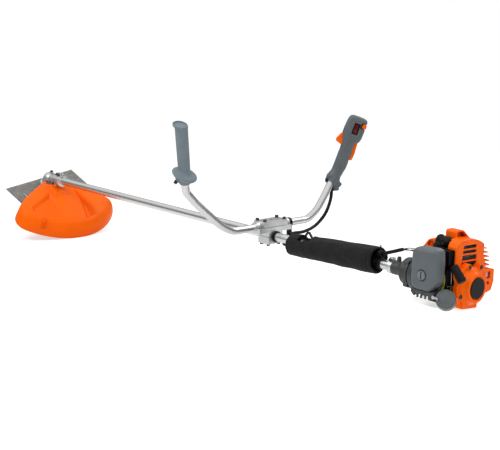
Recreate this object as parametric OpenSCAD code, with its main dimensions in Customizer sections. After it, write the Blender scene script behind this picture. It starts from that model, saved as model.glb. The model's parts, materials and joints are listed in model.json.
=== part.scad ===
// Petrol brush cutter with bike handlebars, a two-tooth blade and a full guard.
// Lengths are millimetres. The row frame has +Z up, the cutting head at -X and the engine at +X.
// Most parts are drawn in the shaft frame: the drive line is its X axis, and X = 0 is the rear
// end of the bare tube, where the clutch clamp begins. The cutting head has a frame of its own.

/* [Shaft] */
// Outer diameter of the main tube
tube_d = 26; // [24:1:28]
// Wall of the main tube
tube_wall = 1.5; // [1:0.1:2]
// Distance from the clutch clamp to the middle of the gear case
head_reach = 1608; // [1400:1:1700]
// Angle by which the shaft rises towards the cutting head when parked
shaft_rise = 2.33; // [1.5:0.01:3]
// Height of the tube's rear end above the ground
tube_end_h = 126; // [120:1:135]
// Diameter of the drive shaft
drive_d = 8; // [7:0.5:9]

/* [Cutting head] */
// Angle between the cutting plane and the shaft
head_tilt = 30; // [28:1:32]
// Length of the blade over its tips
blade_len = 318; // [255:1:330]
// Width of the blade
blade_w = 92; // [80:1:100]
// Thickness of the blade
blade_t = 2; // [1.6:0.1:2.5]
// Bore of the blade
blade_bore = 25.4; // [20:0.1:25.4]
// Parked angle of the blade round its axis
blade_turn = 12; // [0:1:90]
// Radius of the guard's rim
guard_r = 252; // [230:1:260]
// First edge of the guard, as an angle round the spindle
guard_from = -64; // [-75:1:-50]
// Last edge of the guard
guard_to = 54; // [45:1:70]

/* [Handlebar] */
// Diameter of the handlebars
bar_d = 22; // [19:1:25]
// Distance from the clutch clamp to the handlebar clamp
clamp_reach = 443; // [380:1:520]
// Height of the handlebar's middle above the shaft axis
bar_rise = 29; // [29:1:34]
// Lean of the grips from upright
grip_lean = 18.9; // [10:0.1:25]
// Direction in which the grips lean, outwards from straight back
grip_yaw = 52.1; // [40:0.1:60]

/* [Engine] */
// Distance from the clutch clamp to the cylinder axis
cyl_x = 202; // [195:1:208]
// Bore of the cylinder
bore_d = 36; // [34:1:38]
// Stroke of the piston
stroke = 28; // [26:1:30]
// Radius of the flywheel
wheel_r = 42; // [38:1:44]

/* [Hidden] */
$fn = 64;

// Row frame: the origin is under the middle of the whole machine
tube_end_x = 695;
centre_y = -4.81;
tube_r = tube_d / 2;
tube_in = tube_r - tube_wall;
drive_r = drive_d / 2;
bar_r = bar_d / 2;
run_gap = 0.05;          // radial clearance of a shaft in its bearing
skin = 2.5;              // wall of the plastic covers

silver = "#c9cbcd";
steel = "#a8abae";
dark = "#55585b";
grey = "#6f7b83";
orange = "#ff6a00";
black = "#1c1c1e";

// ---------- helpers ----------

module on_shaft() {
    translate([tube_end_x, centre_y, tube_end_h]) rotate([0, shaft_rise, 0]) children();
}

module in_head() {
    on_shaft() translate([-head_reach, 0, 0]) rotate([0, head_tilt, 0]) children();
}

// Round bar along X
module rod_x(x0, x1, r) {
    translate([x0, 0, 0]) rotate([0, 90, 0]) cylinder(h = x1 - x0, r = r);
}

// Tube along X
module ring_x(x0, x1, r_in, r_out) {
    difference() {
        rod_x(x0, x1, r_out);
        rod_x(x0 - 1, x1 + 1, r_in);
    }
}

// Round bar along Z
module rod_z(z0, z1, r) {
    translate([0, 0, z0]) cylinder(h = z1 - z0, r = r);
}

module ring_z(z0, z1, r_in, r_out) {
    difference() {
        rod_z(z0, z1, r_out);
        rod_z(z0 - 1, z1 + 1, r_in);
    }
}

// Round bar along Y
module rod_y(y0, y1, r) {
    translate([0, y1, 0]) rotate([90, 0, 0]) cylinder(h = y1 - y0, r = r);
}

// Box from its two corners
module block(a, b) {
    translate(a) cube(b - a);
}

// Rectangle from its two corners with four round corners of radius r
module round_rect(a, b, r) {
    translate(a + [r, 0]) square(b - a - [2 * r, 0]);
    translate(a + [0, r]) square(b - a - [0, 2 * r]);
    for (x = [a.x + r, b.x - r], y = [a.y + r, b.y - r]) translate([x, y]) circle(r = r);
}

// Hexagon-socket screw standing on z = 0 with its shank going down
module cap_screw(head_r, head_h, shank_r, length) {
    difference() {
        cylinder(h = head_h, r = head_r);
        translate([0, 0, head_h * 0.45]) cylinder(h = head_h, r = head_r * 0.5, $fn = 6);
    }
    translate([0, 0, -length]) cylinder(h = length + 0.01, r = shank_r);
}

// Ball bearing along Z: two races and its balls as separate solids
module ball_bearing(z0, width, r_in, r_out) {
    third = (r_out - r_in) / 3;
    ball_r = third * 0.55;
    ring_z(z0, z0 + width, r_in, r_in + third * 0.9);
    ring_z(z0, z0 + width, r_out - third * 0.9, r_out);
    for (a = [0:45:315])
        rotate([0, 0, a]) translate([(r_in + r_out) / 2, 0, z0 + width / 2]) sphere(r = ball_r, $fn = 24);
}

function unit(v) = v / norm(v);

// Smooth curve through the points p, with n steps to a span
function spline_at(a, b, c, d, t) =
    0.5 * (2 * b + (c - a) * t + (2 * a - 5 * b + 4 * c - d) * t * t + (3 * b - a - 3 * c + d) * t * t * t);
function spline(p, n) = concat(
    [for (i = [0:len(p) - 2]) for (k = [0:n - 1])
        spline_at(p[max(i - 1, 0)], p[i], p[i + 1], p[min(i + 2, len(p) - 1)], k / n)],
    [p[len(p) - 1]]);

function tangents(p) = [for (i = [0:len(p) - 1]) unit(p[min(i + 1, len(p) - 1)] - p[max(i - 1, 0)])];
function carried(t, n, i = 1) =
    i == len(t) ? n : carried(t, concat(n, [unit(n[i - 1] - (n[i - 1] * t[i]) * t[i])]), i + 1);
function first_normal(t) = unit(cross(t, abs(t.z) < 0.9 ? [0, 0, 1] : [1, 0, 0]));

// Round section of radius r swept along the points of path
module sweep(path, r, sides = 10) {
    t = tangents(path);
    n = carried(t, [first_normal(t[0])]);
    last = len(path) - 1;
    polyhedron(
        points = [for (i = [0:last]) for (k = [0:sides - 1])
            path[i] + r * (cos(360 * k / sides) * n[i] + sin(360 * k / sides) * cross(t[i], n[i]))],
        faces = concat(
            [[for (k = [0:sides - 1]) k]],
            [for (i = [0:last - 1]) for (k = [0:sides - 1])
                [i * sides + k, (i + 1) * sides + k, (i + 1) * sides + (k + 1) % sides, i * sides + (k + 1) % sides]],
            [[for (k = [sides - 1:-1:0]) last * sides + k]]),
        convexity = 6);
}

// ---------- bevel gears ----------
// The two pitch cones share their tip, where the shaft axis crosses the spindle axis.

pinion_teeth = 14;
gear_teeth = 19;
axis_angle = 90 + head_tilt;
pinion_cone = atan(sin(axis_angle) / (gear_teeth / pinion_teeth + cos(axis_angle)));
gear_cone = axis_angle - pinion_cone;
gear_pitch_r = 16;
cone_dist = gear_pitch_r / sin(gear_cone);
tooth_face = 6;

// Point on a cone round Z: distance rho from the tip, cone angle a, turned by phi
function on_cone(rho, a, phi) = [rho * sin(a) * cos(phi), rho * sin(a) * sin(phi), rho * cos(a)];

// One straight bevel tooth: root and tip are angles below and above the pitch cone
module bevel_tooth(cone, half_root, half_tip) {
    root = 4.4;
    tip = 3.4;
    polyhedron(
        points = [for (rho = [cone_dist - tooth_face, cone_dist])
            each [on_cone(rho, cone - root, -half_root), on_cone(rho, cone + tip, -half_tip),
                on_cone(rho, cone + tip, half_tip), on_cone(rho, cone - root, half_root)]],
        faces = [[0, 1, 2], [0, 2, 3], [6, 5, 4], [7, 6, 4], [0, 4, 5], [0, 5, 1],
            [1, 5, 6], [1, 6, 2], [2, 6, 7], [2, 7, 3], [3, 7, 4], [3, 4, 0]]);
}

// Toothed part of a bevel gear with its tip at the origin and its axis along +Z
module bevel_crown(teeth, cone, half_root, half_tip, bore_r, back) {
    root_cone = cone - 4.2;
    z0 = (cone_dist - tooth_face) * cos(root_cone);
    z1 = cone_dist * cos(root_cone);
    r0 = (cone_dist - tooth_face) * sin(root_cone);
    r1 = cone_dist * sin(root_cone);
    difference() {
        union() {
            translate([0, 0, z0]) cylinder(h = z1 - z0, r1 = r0, r2 = r1);
            rod_z(z1 - 0.01, z1 + back, r1);
            for (i = [0:teeth - 1]) rotate([0, 0, 360 * i / teeth]) bevel_tooth(cone, half_root, half_tip);
        }
        rod_z(-1, z1 + back + 1, bore_r);
    }
}

// ---------- cutting head ----------

case_floor = -28;
socket_end = 79;
tube_front = 44;
holder_top = case_floor - 1;
blade_top = -37;
blade_low = blade_top - blade_t;

module gear_case() {
    color(silver) in_head() difference() {
        union() {
            rod_z(case_floor, -2, 25);
            translate([0, 0, -2]) sphere(r = 25);
            rod_z(case_floor, case_floor + 5, 30);
            rotate([0, -head_tilt, 0]) {
                rod_x(0, socket_end, 18);
                rod_x(socket_end - 14, socket_end, 20);
                block([48, -7, 12], [74, 7, 28]);
                rod_x(30, 34, 20);
            }
            rotate([0, -10, 0]) rod_z(14, 27, 7);
            for (a = [60, 180, 300]) rotate([0, 0, a]) translate([25, 0, case_floor]) cylinder(h = 20, r = 5);
        }
        // Gear chamber, spindle bearing seat and shaft bore
        rod_z(-14.2, -2, 20);
        translate([0, 0, -3]) sphere(r = 20.4);
        rod_z(case_floor - 1, -13, 16);
        rotate([0, -head_tilt, 0]) rod_x(0, socket_end + 1, tube_r);
        rotate([0, -head_tilt, 0]) block([40, -1.2, 10], [90, 1.2, 30]);
        rotate([0, -head_tilt, 0]) for (x = [55, 68]) translate([x, 0, 23]) rod_y(-10, 10, 2.6);
        rotate([0, -10, 0]) rod_z(12, 28, 3.6);
    }
}

module pinion_gear() {
    color(steel) in_head() rotate([0, 90 - head_tilt, 0]) {
        rotate([0, 0, 180 / pinion_teeth]) bevel_crown(pinion_teeth, pinion_cone, 8, 3.6, drive_r, 0.3);
        difference() {
            union() {
                rod_z(12.4, 15, 8);
                rod_z(14.9, 38, 5);
            }
            rod_z(10, 40, drive_r);
        }
    }
}

module output_gear() {
    color(steel) in_head() rotate([180, 0, 0]) bevel_crown(gear_teeth, gear_cone, 5.4, 2.5, 6, 5.5);
}

module head_bearings() {
    color(steel) in_head() {
        rotate([180, 0, 0]) ball_bearing(15.5, 11, 6 + run_gap, 16);
        rotate([0, 90 - head_tilt, 0]) {
            ball_bearing(15.4, 8, 5 + run_gap, tube_r);
            ball_bearing(24, 8, 5 + run_gap, tube_r);
        }
    }
}

module output_shaft() {
    color(steel) in_head() {
        rod_z(-29, -6.5, 6);
        rod_z(-62, -28.9, 5);
    }
}

module blade_holder() {
    color(steel) in_head() difference() {
        union() {
            rod_z(blade_top, holder_top, 29);
            rod_z(blade_low - 0.4, blade_top + 0.1, blade_bore / 2 - 0.1);
        }
        rod_z(-60, 0, 5);
        ring_z(-34, -20, 20, 26);
    }
}

module blade() {
    color(dark) in_head() rotate([0, 0, blade_turn]) difference() {
        block([-blade_w / 2, -blade_len / 2, blade_low], [blade_w / 2, blade_len / 2, blade_top]);
        rod_z(-60, 0, blade_bore / 2);
        for (s = [-1, 1]) {
            // Stress slots near the tips, and the ground edges
            translate([-s * 20, s * 112, -60]) linear_extrude(height = 60) round_rect([-26, -1.6], [26, 1.6], 1.59);
            translate([s * blade_w / 2, 0, blade_low]) rotate([90, 0, 0])
                linear_extrude(height = blade_len + 2, center = true) polygon([[0, -1], [0, 1.4], [-s * 6, -1]]);
        }
    }
}

module outer_flange() {
    color(steel) in_head() difference() {
        union() {
            rod_z(-45, blade_low - 0.6, 27);
            rod_z(blade_low - 0.61, blade_low, 26);
        }
        rod_z(-60, 0, 5);
        rod_z(blade_low - 0.6, 0, 13.2);
    }
}

module stabilizer_cup() {
    color(steel) in_head() difference() {
        union() {
            translate([0, 0, -56]) cylinder(h = 8, r1 = 22, r2 = 30);
            rod_z(-48.01, -45, 30);
        }
        rod_z(-60, -47, 12);
        rod_z(-60, 0, 5);
    }
}

module blade_nut() {
    color(black) in_head() difference() {
        union() {
            translate([0, 0, -56]) cylinder(h = 9, r = 9.2, $fn = 6);
            rod_z(-49, -47, 11);
        }
        rod_z(-60, 0, 5);
    }
}

guard_low = -(tube_end_h + head_reach * sin(shaft_rise) - guard_r * sin(head_tilt + shaft_rise))
    / cos(head_tilt + shaft_rise);
guard_span = guard_to - guard_from;
guard_top_z = -22;

// Section of the guard's shell, from the mounting plate out to the rim
module guard_section() {
    polygon([[46, -6], [200, guard_top_z + 10], [228, guard_top_z], [243, -36], [guard_r, guard_low],
        [guard_r - 3, guard_low], [240, -37], [226, guard_top_z - 3], [199.6, guard_top_z + 7], [46, -9]]);
}

// Wall that closes the guard at an edge
module guard_edge_section() {
    polygon([[60, -8], [200, guard_top_z + 8.6], [227, guard_top_z - 1.5], [241.5, -36.5],
        [guard_r - 1.5, guard_low + 0.7], [238, guard_low + 0.7], [212, -32], [60, -20]]);
}

module guard() {
    color(orange) in_head() difference() {
        union() {
            rotate([0, 0, guard_from]) rotate_extrude(angle = guard_span) guard_section();
            for (a = [guard_from + 0.3, guard_to - 1.1]) rotate([0, 0, a]) rotate_extrude(angle = 0.8) guard_edge_section();
            block([44, -24, -8], [84, 24, -2.3]);
        }
        rod_z(-100, 40, 41);
        rotate([0, -head_tilt, 0]) rod_x(0, 200, 18.3);
        for (y = [-17, 17]) translate([66, y, -20]) cylinder(h = 30, r = 2.6);
    }
}

module guard_bracket() {
    color(steel) in_head() difference() {
        union() {
            block([42, -24, -2.2], [84, 24, 0]);
            rotate([0, -head_tilt, 0]) block([30, -14, -23], [46, 14, -13.4]);
        }
        rotate([0, -head_tilt, 0]) {
            rod_x(0, 90, 18.3);
            rod_x(28, 36, 20.4);
        }
        translate([0, 0, -2]) sphere(r = 25.4);
        rod_z(-10, 0, 41);
        for (y = [-17, 17]) translate([66, y, -20]) cylinder(h = 30, r = 2.6);
    }
}

module line_cutter() {
    color(black) in_head() rotate([0, 0, -42]) {
        rotate([90, 0, 0]) linear_extrude(height = 2, center = true)
            polygon([[guard_r - 40, guard_low - 1.5], [guard_r - 3.6, guard_low - 1.5], [guard_r - 3.6, guard_low],
                [guard_r - 11, guard_low + 24], [guard_r - 40, guard_low + 24]]);
        block([guard_r - 14, -14, guard_low + 6], [guard_r - 11, 0.9, guard_low + 22]);
    }
}

// ---------- shaft ----------

module shaft_tube() {
    color(silver) on_shaft() ring_x(-head_reach + tube_front, 46, tube_in, tube_r);
}

module drive_shaft() {
    color(steel) on_shaft() rod_x(-head_reach + 17, 64, drive_r);
}

module shaft_bushings() {
    color(black) on_shaft() for (i = [0:4])
        translate([-1500 + i * 352, 0, 0]) ring_x(0, 34, drive_r + run_gap, tube_in);
}

// ---------- handlebar ----------

clamp_top = bar_rise + 17;

module at_clamp() {
    on_shaft() translate([-clamp_reach, 0, 0]) children();
}

module handle_bracket() {
    color(silver) at_clamp() difference() {
        union() {
            // Lower cap under the tube
            block([-22, -27, -21], [22, 27, -0.6]);
            // Middle block between tube and bars
            block([-22, -27, 0.6], [22, 27, bar_rise - 0.6]);
            block([-22, -62, 14], [22, 62, bar_rise - 0.6]);
            // Top cap over the bars
            block([-22, -46, bar_rise + 0.6], [22, 46, clamp_top]);
            intersection() {
                block([-22, -62, bar_rise + 0.6], [22, 62, clamp_top]);
                translate([0, 0, bar_rise]) rod_y(-62, 62, bar_r + 5);
            }
        }
        rod_x(-40, 40, tube_r);
        translate([0, 0, bar_rise]) rod_y(-70, 70, bar_r);
        for (x = [-16, 16], y = [-38, 38]) translate([x, y, 0]) rod_z(5, 60, 3.1);
        for (x = [-14, 14], y = [-20.5, 20.5]) translate([x, y, 0]) rod_z(-30, 12, 3.1);
        translate([0, 0, clamp_top - 5]) rod_z(0, 10, 4);
        for (x = [-9, 9]) block([x - 1, -40, clamp_top - 1.5], [x + 1, 40, clamp_top + 1]);
    }
}

module socket_screws() {
    color(black) {
        // Gear case: split clamp and grease filler
        in_head() {
            rotate([0, -head_tilt, 0]) for (x = [55, 68]) translate([x, -7, 23]) rotate([90, 0, 0])
                cap_screw(4.2, 4.5, 2.5, 16);
            rotate([0, -10, 0]) translate([0, 0, 27]) cap_screw(5.4, 3.2, 3.5, 9);
            for (y = [-17, 17]) translate([66, y, 0]) cap_screw(4.4, 4, 2.5, 9);
        }
        at_clamp() {
            for (x = [-16, 16], y = [-38, 38]) translate([x, y, clamp_top]) cap_screw(5.2, 6, 3, 28);
            for (x = [-14, 14], y = [-20.5, 20.5]) translate([x, y, -21]) mirror([0, 0, 1]) cap_screw(5, 5, 3, 30);
        }
        // Clutch clamp and starter
        on_shaft() {
            translate([21, -9, 20]) rotate([90, 0, 0]) cap_screw(4.4, 4, 2.5, 13);
            translate([42, 0, 26]) cap_screw(5, 4.5, 2.6, 10);
            for (p = starter_screws) translate([starter_face - 12, p.x, p.y]) rotate([0, 90, 0]) cap_screw(4.6, 5, 2.4, 14);
        }
    }
}

// Foot of a grip, and the direction of its axis, on the +Y side of the shaft frame
grip_foot = [-473, 288, 125];
grip_dir = [sin(grip_lean) * cos(grip_yaw), sin(grip_lean) * sin(grip_yaw), cos(grip_lean)];

bar_route = concat([[-clamp_reach, 7, bar_rise], [-clamp_reach, 60, bar_rise], [-clamp_reach, 108, bar_rise]],
    spline([[-443, 122, 29], [-443, 150, 32], [-447, 190, 53], [-457, 232, 90], [-467, 264, 121]], 5),
    [grip_foot + 26 * grip_dir - [1, 3, 0], grip_foot + 46 * grip_dir, grip_foot + 68 * grip_dir]);

module handlebars() {
    color(silver) on_shaft() for (side = [0, 1])
        mirror([0, side, 0]) sweep(spline(bar_route, 1), bar_r, 24);
}

// Local frame of a grip: Z along it, +X away from the fingers
module at_grip() {
    translate(grip_foot) rotate([0, grip_lean, grip_yaw]) children();
}

module on_grip() {
    on_shaft() at_grip() children();
}

// Room for the bent handlebar, in the grip's frame
module bar_room() {
    rotate([0, -grip_lean, 0]) rotate([0, 0, -grip_yaw]) translate(-grip_foot)
        sweep(spline(bar_route, 1), bar_r + 0.5, 24);
}

module left_grip() {
    color(grey) on_shaft() mirror([0, 1, 0]) at_grip() difference() {
        union() {
            rotate_extrude() polygon(concat(
                [[0, 40], [13, 40], [24, 44]],
                [for (a = [-70:20:50]) [26 + 8 * cos(a), 54 + 8 * sin(a)]],
                [[24, 70], [18.5, 84], [16.6, 110], [16.6, 220], [0, 220]]));
            translate([0, 0, 214]) rotate([0, 14, 0]) cylinder(h = 5, r = 19);
            rotate([0, 0, 200]) translate([20, 0, 36]) cylinder(h = 12, r = 6.5);
        }
        rod_z(0, 74, bar_r + 0.5);
        rotate([0, 14, 0]) block([-90, -60, 214], [90, 60, 300]);
        rotate([0, 0, 200]) translate([20, 0, 30]) cylinder(h = 12, r = 3);
    }
}

// Outer form of the throttle handle; inset makes the hollow
module handle_form(inset) {
    hull() {
        translate([0, 0, 34]) cylinder(h = 4, r = 16.5 - inset, $fn = 28);
        translate([0, 0, 128]) cylinder(h = 4, r = 15.5 - inset, $fn = 28);
    }
    hull() {
        translate([-6, 0, 130 + inset]) cylinder(h = 2, r = 15 - inset, $fn = 28);
        for (x = [-12, 22]) translate([x, 0, 158]) cylinder(h = 34, r = 16.5 - inset, $fn = 28);
        for (x = [-4, 17]) translate([x, 0, 206 - inset]) cylinder(h = 6, r = 12 - inset, $fn = 28);
        translate([22, 0, 146 + inset]) cylinder(h = 2, r = 14 - inset, $fn = 28);
    }
}

module handle_shell(side) {
    difference() {
        union() {
            handle_form(0);
            hull() {
                translate([0, 0, 30]) cylinder(h = 12, r = 17, $fn = 28);
                translate([-3, 0, 14]) cylinder(h = 9, r = 26, $fn = 28);
            }
        }
        handle_form(skin);
        rod_z(40, 70, bar_r + 0.5);
        bar_room();
        rod_z(24, 40, 13.6);
        translate([8, -13, 0]) rod_z(-20, 30, 5.2);
        // Windows: trigger, lockout lever, rocker switch and start-lock button
        block([-60, -5.5, 128], [-8, 5.5, 172]);
        block([-12, -5.5, 126], [11, 5.5, 142]);
        block([6, -6.5, 74], [60, 6.5, 146]);
        block([-3, -40, 164], [17, -8, 196]);
        block([24, -7.5, 172], [60, 7.5, 196]);
        // The other half
        translate([0, side * 199.85, 100]) cube([400, 400, 400], center = true);
        for (z = [18, 122, 204]) translate([z < 100 ? -22 : 4, 0, z]) rod_y(-40, 40, 1.6);
    }
}

module handle_shell_inner() {
    color(grey) on_grip() {
        handle_shell(1);
        // Pins of the trigger, the lockout lever and the rocker switch
        translate(trigger_pivot) rod_y(-15, 10, 2.5);
        translate(lockout_pivot) rod_y(-13.6, 8, 2);
        translate(switch_pivot) rod_x(-12.4, 12.4, 1.55);
        for (x = [-13, 10.2]) translate(switch_pivot) block([x, -4, -4], [x + 2.8, 2, 4]);
    }
}

module handle_shell_outer() {
    color(grey) on_grip() handle_shell(-1);
}

// Pivots in the grip frame, each with its axis along Y
trigger_pivot = [-7, 0, 166];
lockout_pivot = [10.5, 0, 139];

module trigger_form() {
    polygon([[-4, 170], [-12, 172], [-19, 169], [-40, 147], [-38, 142], [-28, 141], [-17.5, 131], [-9, 134], [-3, 160]]);
}

module throttle_trigger() {
    color(orange) on_grip() difference() {
        rotate([90, 0, 0]) linear_extrude(height = 10, center = true) trigger_form();
        translate(trigger_pivot) rod_y(-10, 10, 2.5 + run_gap);
    }
}

module lockout_lever() {
    color(orange) on_grip() difference() {
        rotate([90, 0, 0]) linear_extrude(height = 12, center = true)
            polygon([[6.5, 143], [16, 143], [24, 132], [27, 100], [25.5, 78], [17, 76], [18, 100], [14.5, 124], [6.5, 134]]);
        translate(lockout_pivot) rod_y(-10, 10, 2 + run_gap);
    }
}

// Rocker switch in its black frame
switch_pivot = [7, -11, 180];

module stop_switch() {
    color("#a01818") on_grip() translate(switch_pivot) difference() {
        rotate([0, 90, 0]) linear_extrude(height = 12, center = true)
            polygon([[-13, -5.6], [0, -4.4], [13, -9.2], [13, -1], [5, 4.5], [-5, 4.5], [-13, -1]]);
        rotate([0, 90, 0]) cylinder(h = 40, r = 1.6, center = true);
    }
}

module start_lock_button() {
    color(orange) on_grip() block([26, -6, 178], [42, 6, 190]);
}

// Route of the conduit that carries the throttle cable and the stop wires
conduit_route = [[-466, 272, 107], [-461, 262, 70], [-453, 232, 32], [-446, 184, 4], [-440, 130, -6],
    [-436, 84, -4], [-428, 50, -9], [-410, 24, -18], [-388, 8, -19], [-340, 11, -17], [-280, 18, -9],
    [-210, 20, 0], [-140, 18, 9], [-84, 9, 18], [-44, 2, 21], [-17, 0, 27], [20, -4, 40], [58, -8, 54]];
conduit_r = 5;
wire_routes = [
    [[55, -8, 53], [76, -14, 58], [98, -20, 60], [112, -20, 59]],
    [[55, -6, 53], [74, -6, 60], [96, -8, 63], [112, -10, 60]],
    [[55, -10, 53], [90, -34, 62], [140, -50, 74], [184.6, -57, 86.6]]];

module throttle_conduit() {
    color(black) on_shaft() {
        sweep(spline(conduit_route, 4), conduit_r, 10);
        for (w = wire_routes) sweep(spline(w, 4), 1.3, 8);
    }
}

module cable_clips() {
    color(black) on_shaft() {
        // Rubber ring beside the handlebar clamp
        translate([-clamp_reach, 0, bar_rise]) difference() {
            union() {
                rod_y(63, 74, bar_r + 4);
                translate([10.3, 0, -35]) rod_y(63, 74, 9.6);
                block([1, 63, -30], [12, 74, -8]);
            }
            rod_y(60, 80, bar_r);
            translate([10.3, 0, -35.3]) rod_y(60, 80, conduit_r + 1.9);
        }
        // Ring on the tube at the clamp, and the cable tie behind the pad
        ring_x(-clamp_reach + 24, -clamp_reach + 30, tube_r, tube_r + 3);
        translate([-26, 0, 0]) {
            difference() {
                union() {
                    rod_x(0, 12, tube_r + 3.4);
                    translate([0, 0.7, 25.8]) rod_x(0, 12, 9.8);
                }
                rod_x(-1, 13, tube_r);
                translate([0, 0.7, 26.2]) rod_x(-1, 13, conduit_r + 2.2);
            }
            block([2, -1, 35], [4, 2, 50]);
        }
    }
}

// Sleeve that hangs loose round the tube and the conduit, so it dips at its front end
pad_front = [-352, 0, -10];
pad_tilt = 3.2;
pad_len = 325;

module hip_pad() {
    color(black) on_shaft() difference() {
        translate(pad_front) rotate([0, 90 - pad_tilt, 0]) difference() {
            union() {
                cylinder(h = pad_len, r1 = 30.5, r2 = 36);
            }
            translate([0, 0, -1]) cylinder(h = pad_len + 2, r = 25.6);
        }
        block([-312, -60, 10], [-264, 60, 80]);
    }
}

module harness_hanger() {
    color(black) on_shaft() {
        ring_x(-301, -275, tube_r, tube_r + 1.6);
        difference() {
            translate([-288, 0, 0]) rotate([90, 0, 0]) linear_extrude(height = 5, center = true)
                polygon([[-19, 14], [19, 14], [19, 20], [4, 37], [-4, 37], [-19, 20]]);
            translate([-288, 0, 0]) rotate([90, 0, 0]) linear_extrude(height = 7, center = true)
                polygon([[-13, 19], [13, 19], [2, 32], [-2, 32]]);
            rod_x(-320, -256, tube_r + 1.3);
        }
    }
}

// ---------- clutch ----------

drum_r = 31;

module tube_clamp() {
    color(silver) on_shaft() difference() {
        union() {
            rod_x(14, 27.6, 18);
            block([14, -5, 14], [27.6, 5, 25]);
            translate([21, 0, 20]) rod_y(-9, -4.9, 5);
        }
        rod_x(10, 40, tube_r);
        block([10, -0.8, 10], [40, 0.8, 30]);
        translate([21, 0, 20]) rod_y(-12, 12, 2.5);
    }
}

module clutch_housing() {
    color(dark) on_shaft() difference() {
        union() {
            rod_x(28, 52, 18.5);
            translate([52, 0, 0]) rotate([0, 90, 0]) cylinder(h = 20, r1 = 18.5, r2 = 35.5);
            rod_x(71.9, 100, 35.5);
            rod_x(94, 100, 42);
            for (a = [45:90:315]) rotate([a, 0, 0]) translate([0, 0, 40]) rod_x(86, 100, 6);
            translate([42, 0, 17]) rod_z(0, 9, 6);
        }
        rod_x(20, 47, tube_r);
        rod_x(48.9, 63, 13);
        rod_x(40, 80, 7);
        translate([66, 0, 0]) rotate([0, 90, 0]) cylinder(h = 6.01, r1 = 27, r2 = 33);
        rod_x(72, 110, 33);
        for (a = [45:90:315]) rotate([a, 0, 0]) translate([0, 0, 41]) rod_x(80, 110, 2.6);
        translate([42, 0, 0]) rod_z(13, 30, 2.6);
    }
}

module clutch_drum() {
    color(steel) on_shaft() {
        difference() {
            union() {
                rod_x(72, 98, drum_r);
                rod_x(64.5, 72.1, 7);
                rod_x(46.5, 65, 6);
            }
            rod_x(74.5, 99, drum_r - 2);
            rod_x(46, 99, drive_r);
            for (a = [0:60:300]) rotate([a, 0, 0]) translate([0, 0, 19]) rod_x(70, 76, 5);
        }
    }
}

module clutch_shoes() {
    color(dark) on_shaft() difference() {
        rod_x(78, 94, drum_r - 2.6);
        rod_x(77, 95, 13);
        for (z = [-1, 1]) block([77, -40, z * 3 - 3], [95, 40, z * 3 + 3]);
        for (z = [-20, 20]) translate([0, 0, z]) rod_x(77, 95, 4);
        block([85.8, -3.2, -25], [95, 3.2, 25]);
    }
}

// ---------- engine ----------

crank_r = stroke / 2;
rod_len = 54;
cyl_base = 44;
piston_top = crank_r + rod_len + 20;
head_top = piston_top + 18;

module at_cylinder() {
    on_shaft() translate([cyl_x, 0, 0]) children();
}

module crankcase() {
    color(steel) at_cylinder() for (side = [-1, 1]) difference() {
        union() {
            rod_x(-34, 36, 43);
            block([-34, -30, 0], [36, 30, cyl_base]);
            block([-26, -34, -50.8], [30, 34, -30]);
            for (a = [30:60:330]) rotate([a, 0, 0]) translate([0, 0, 42]) rod_x(-34, 36, 5);
        }
        rod_x(-18.5, 18.5, 33);
        rod_z(0, 60, bore_d / 2 + 2.2);
        rod_x(-40, 40, 7.5 + run_gap);
        block([side > 0 ? -60 : -0.15, -70, -70], [side > 0 ? 0.15 : 60, 70, 70]);
    }
}

module crankshaft() {
    color(steel) at_cylinder() {
        // The crank pin stays with the rod, so the two webs run past it with a small gap
        rod_x(-116, -14, 7.5);
        rod_x(-14.01, -6.3, 26);
        rod_x(6.3, 14.01, 26);
        rod_x(14, 44, 7.5);
        // Clutch pins
        for (z = [-20, 20]) translate([0, 0, z]) rod_x(-124, -107, 3.9);
        rod_x(-116, -107.01, 12.6);
        for (z = [-1, 1]) block([-116, -3, min(0, z * 24)], [-108.2, 3, max(0, z * 24)]);
    }
}

module connecting_rod() {
    color(steel) at_cylinder() difference() {
        union() {
            translate([0, 0, crank_r]) rod_x(-4, 4, 9);
            translate([0, 0, crank_r + rod_len]) rod_x(-4, 4, 7);
            block([-2.5, -4, crank_r + 6], [2.5, 4, crank_r + rod_len - 5]);
            translate([0, 0, crank_r]) rod_x(-5.9, 5.9, 5.5);
        }
        translate([0, 0, crank_r + rod_len]) rod_x(-6, 6, 4.5);
    }
}

module piston() {
    color(silver) at_cylinder() {
        difference() {
            rod_z(crank_r + rod_len - 12, piston_top, bore_d / 2 - 0.05);
            rod_z(crank_r + rod_len - 13, piston_top - 5, bore_d / 2 - 4);
            for (z = [piston_top - 6, piston_top - 11]) ring_z(z, z + 1.5, bore_d / 2 - 1.5, bore_d);
            translate([0, 0, crank_r + rod_len]) rod_x(-30, 30, 4.5);
        }
        translate([0, 0, crank_r + rod_len]) rod_x(-15, 15, 4.45);
    }
}

fin_r = 34;

module cylinder_fin(z0, half_x, half_y) {
    translate([0, 0, z0]) linear_extrude(height = 1.8) round_rect([-half_x, -half_y], [half_x, half_y], 12);
}

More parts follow.
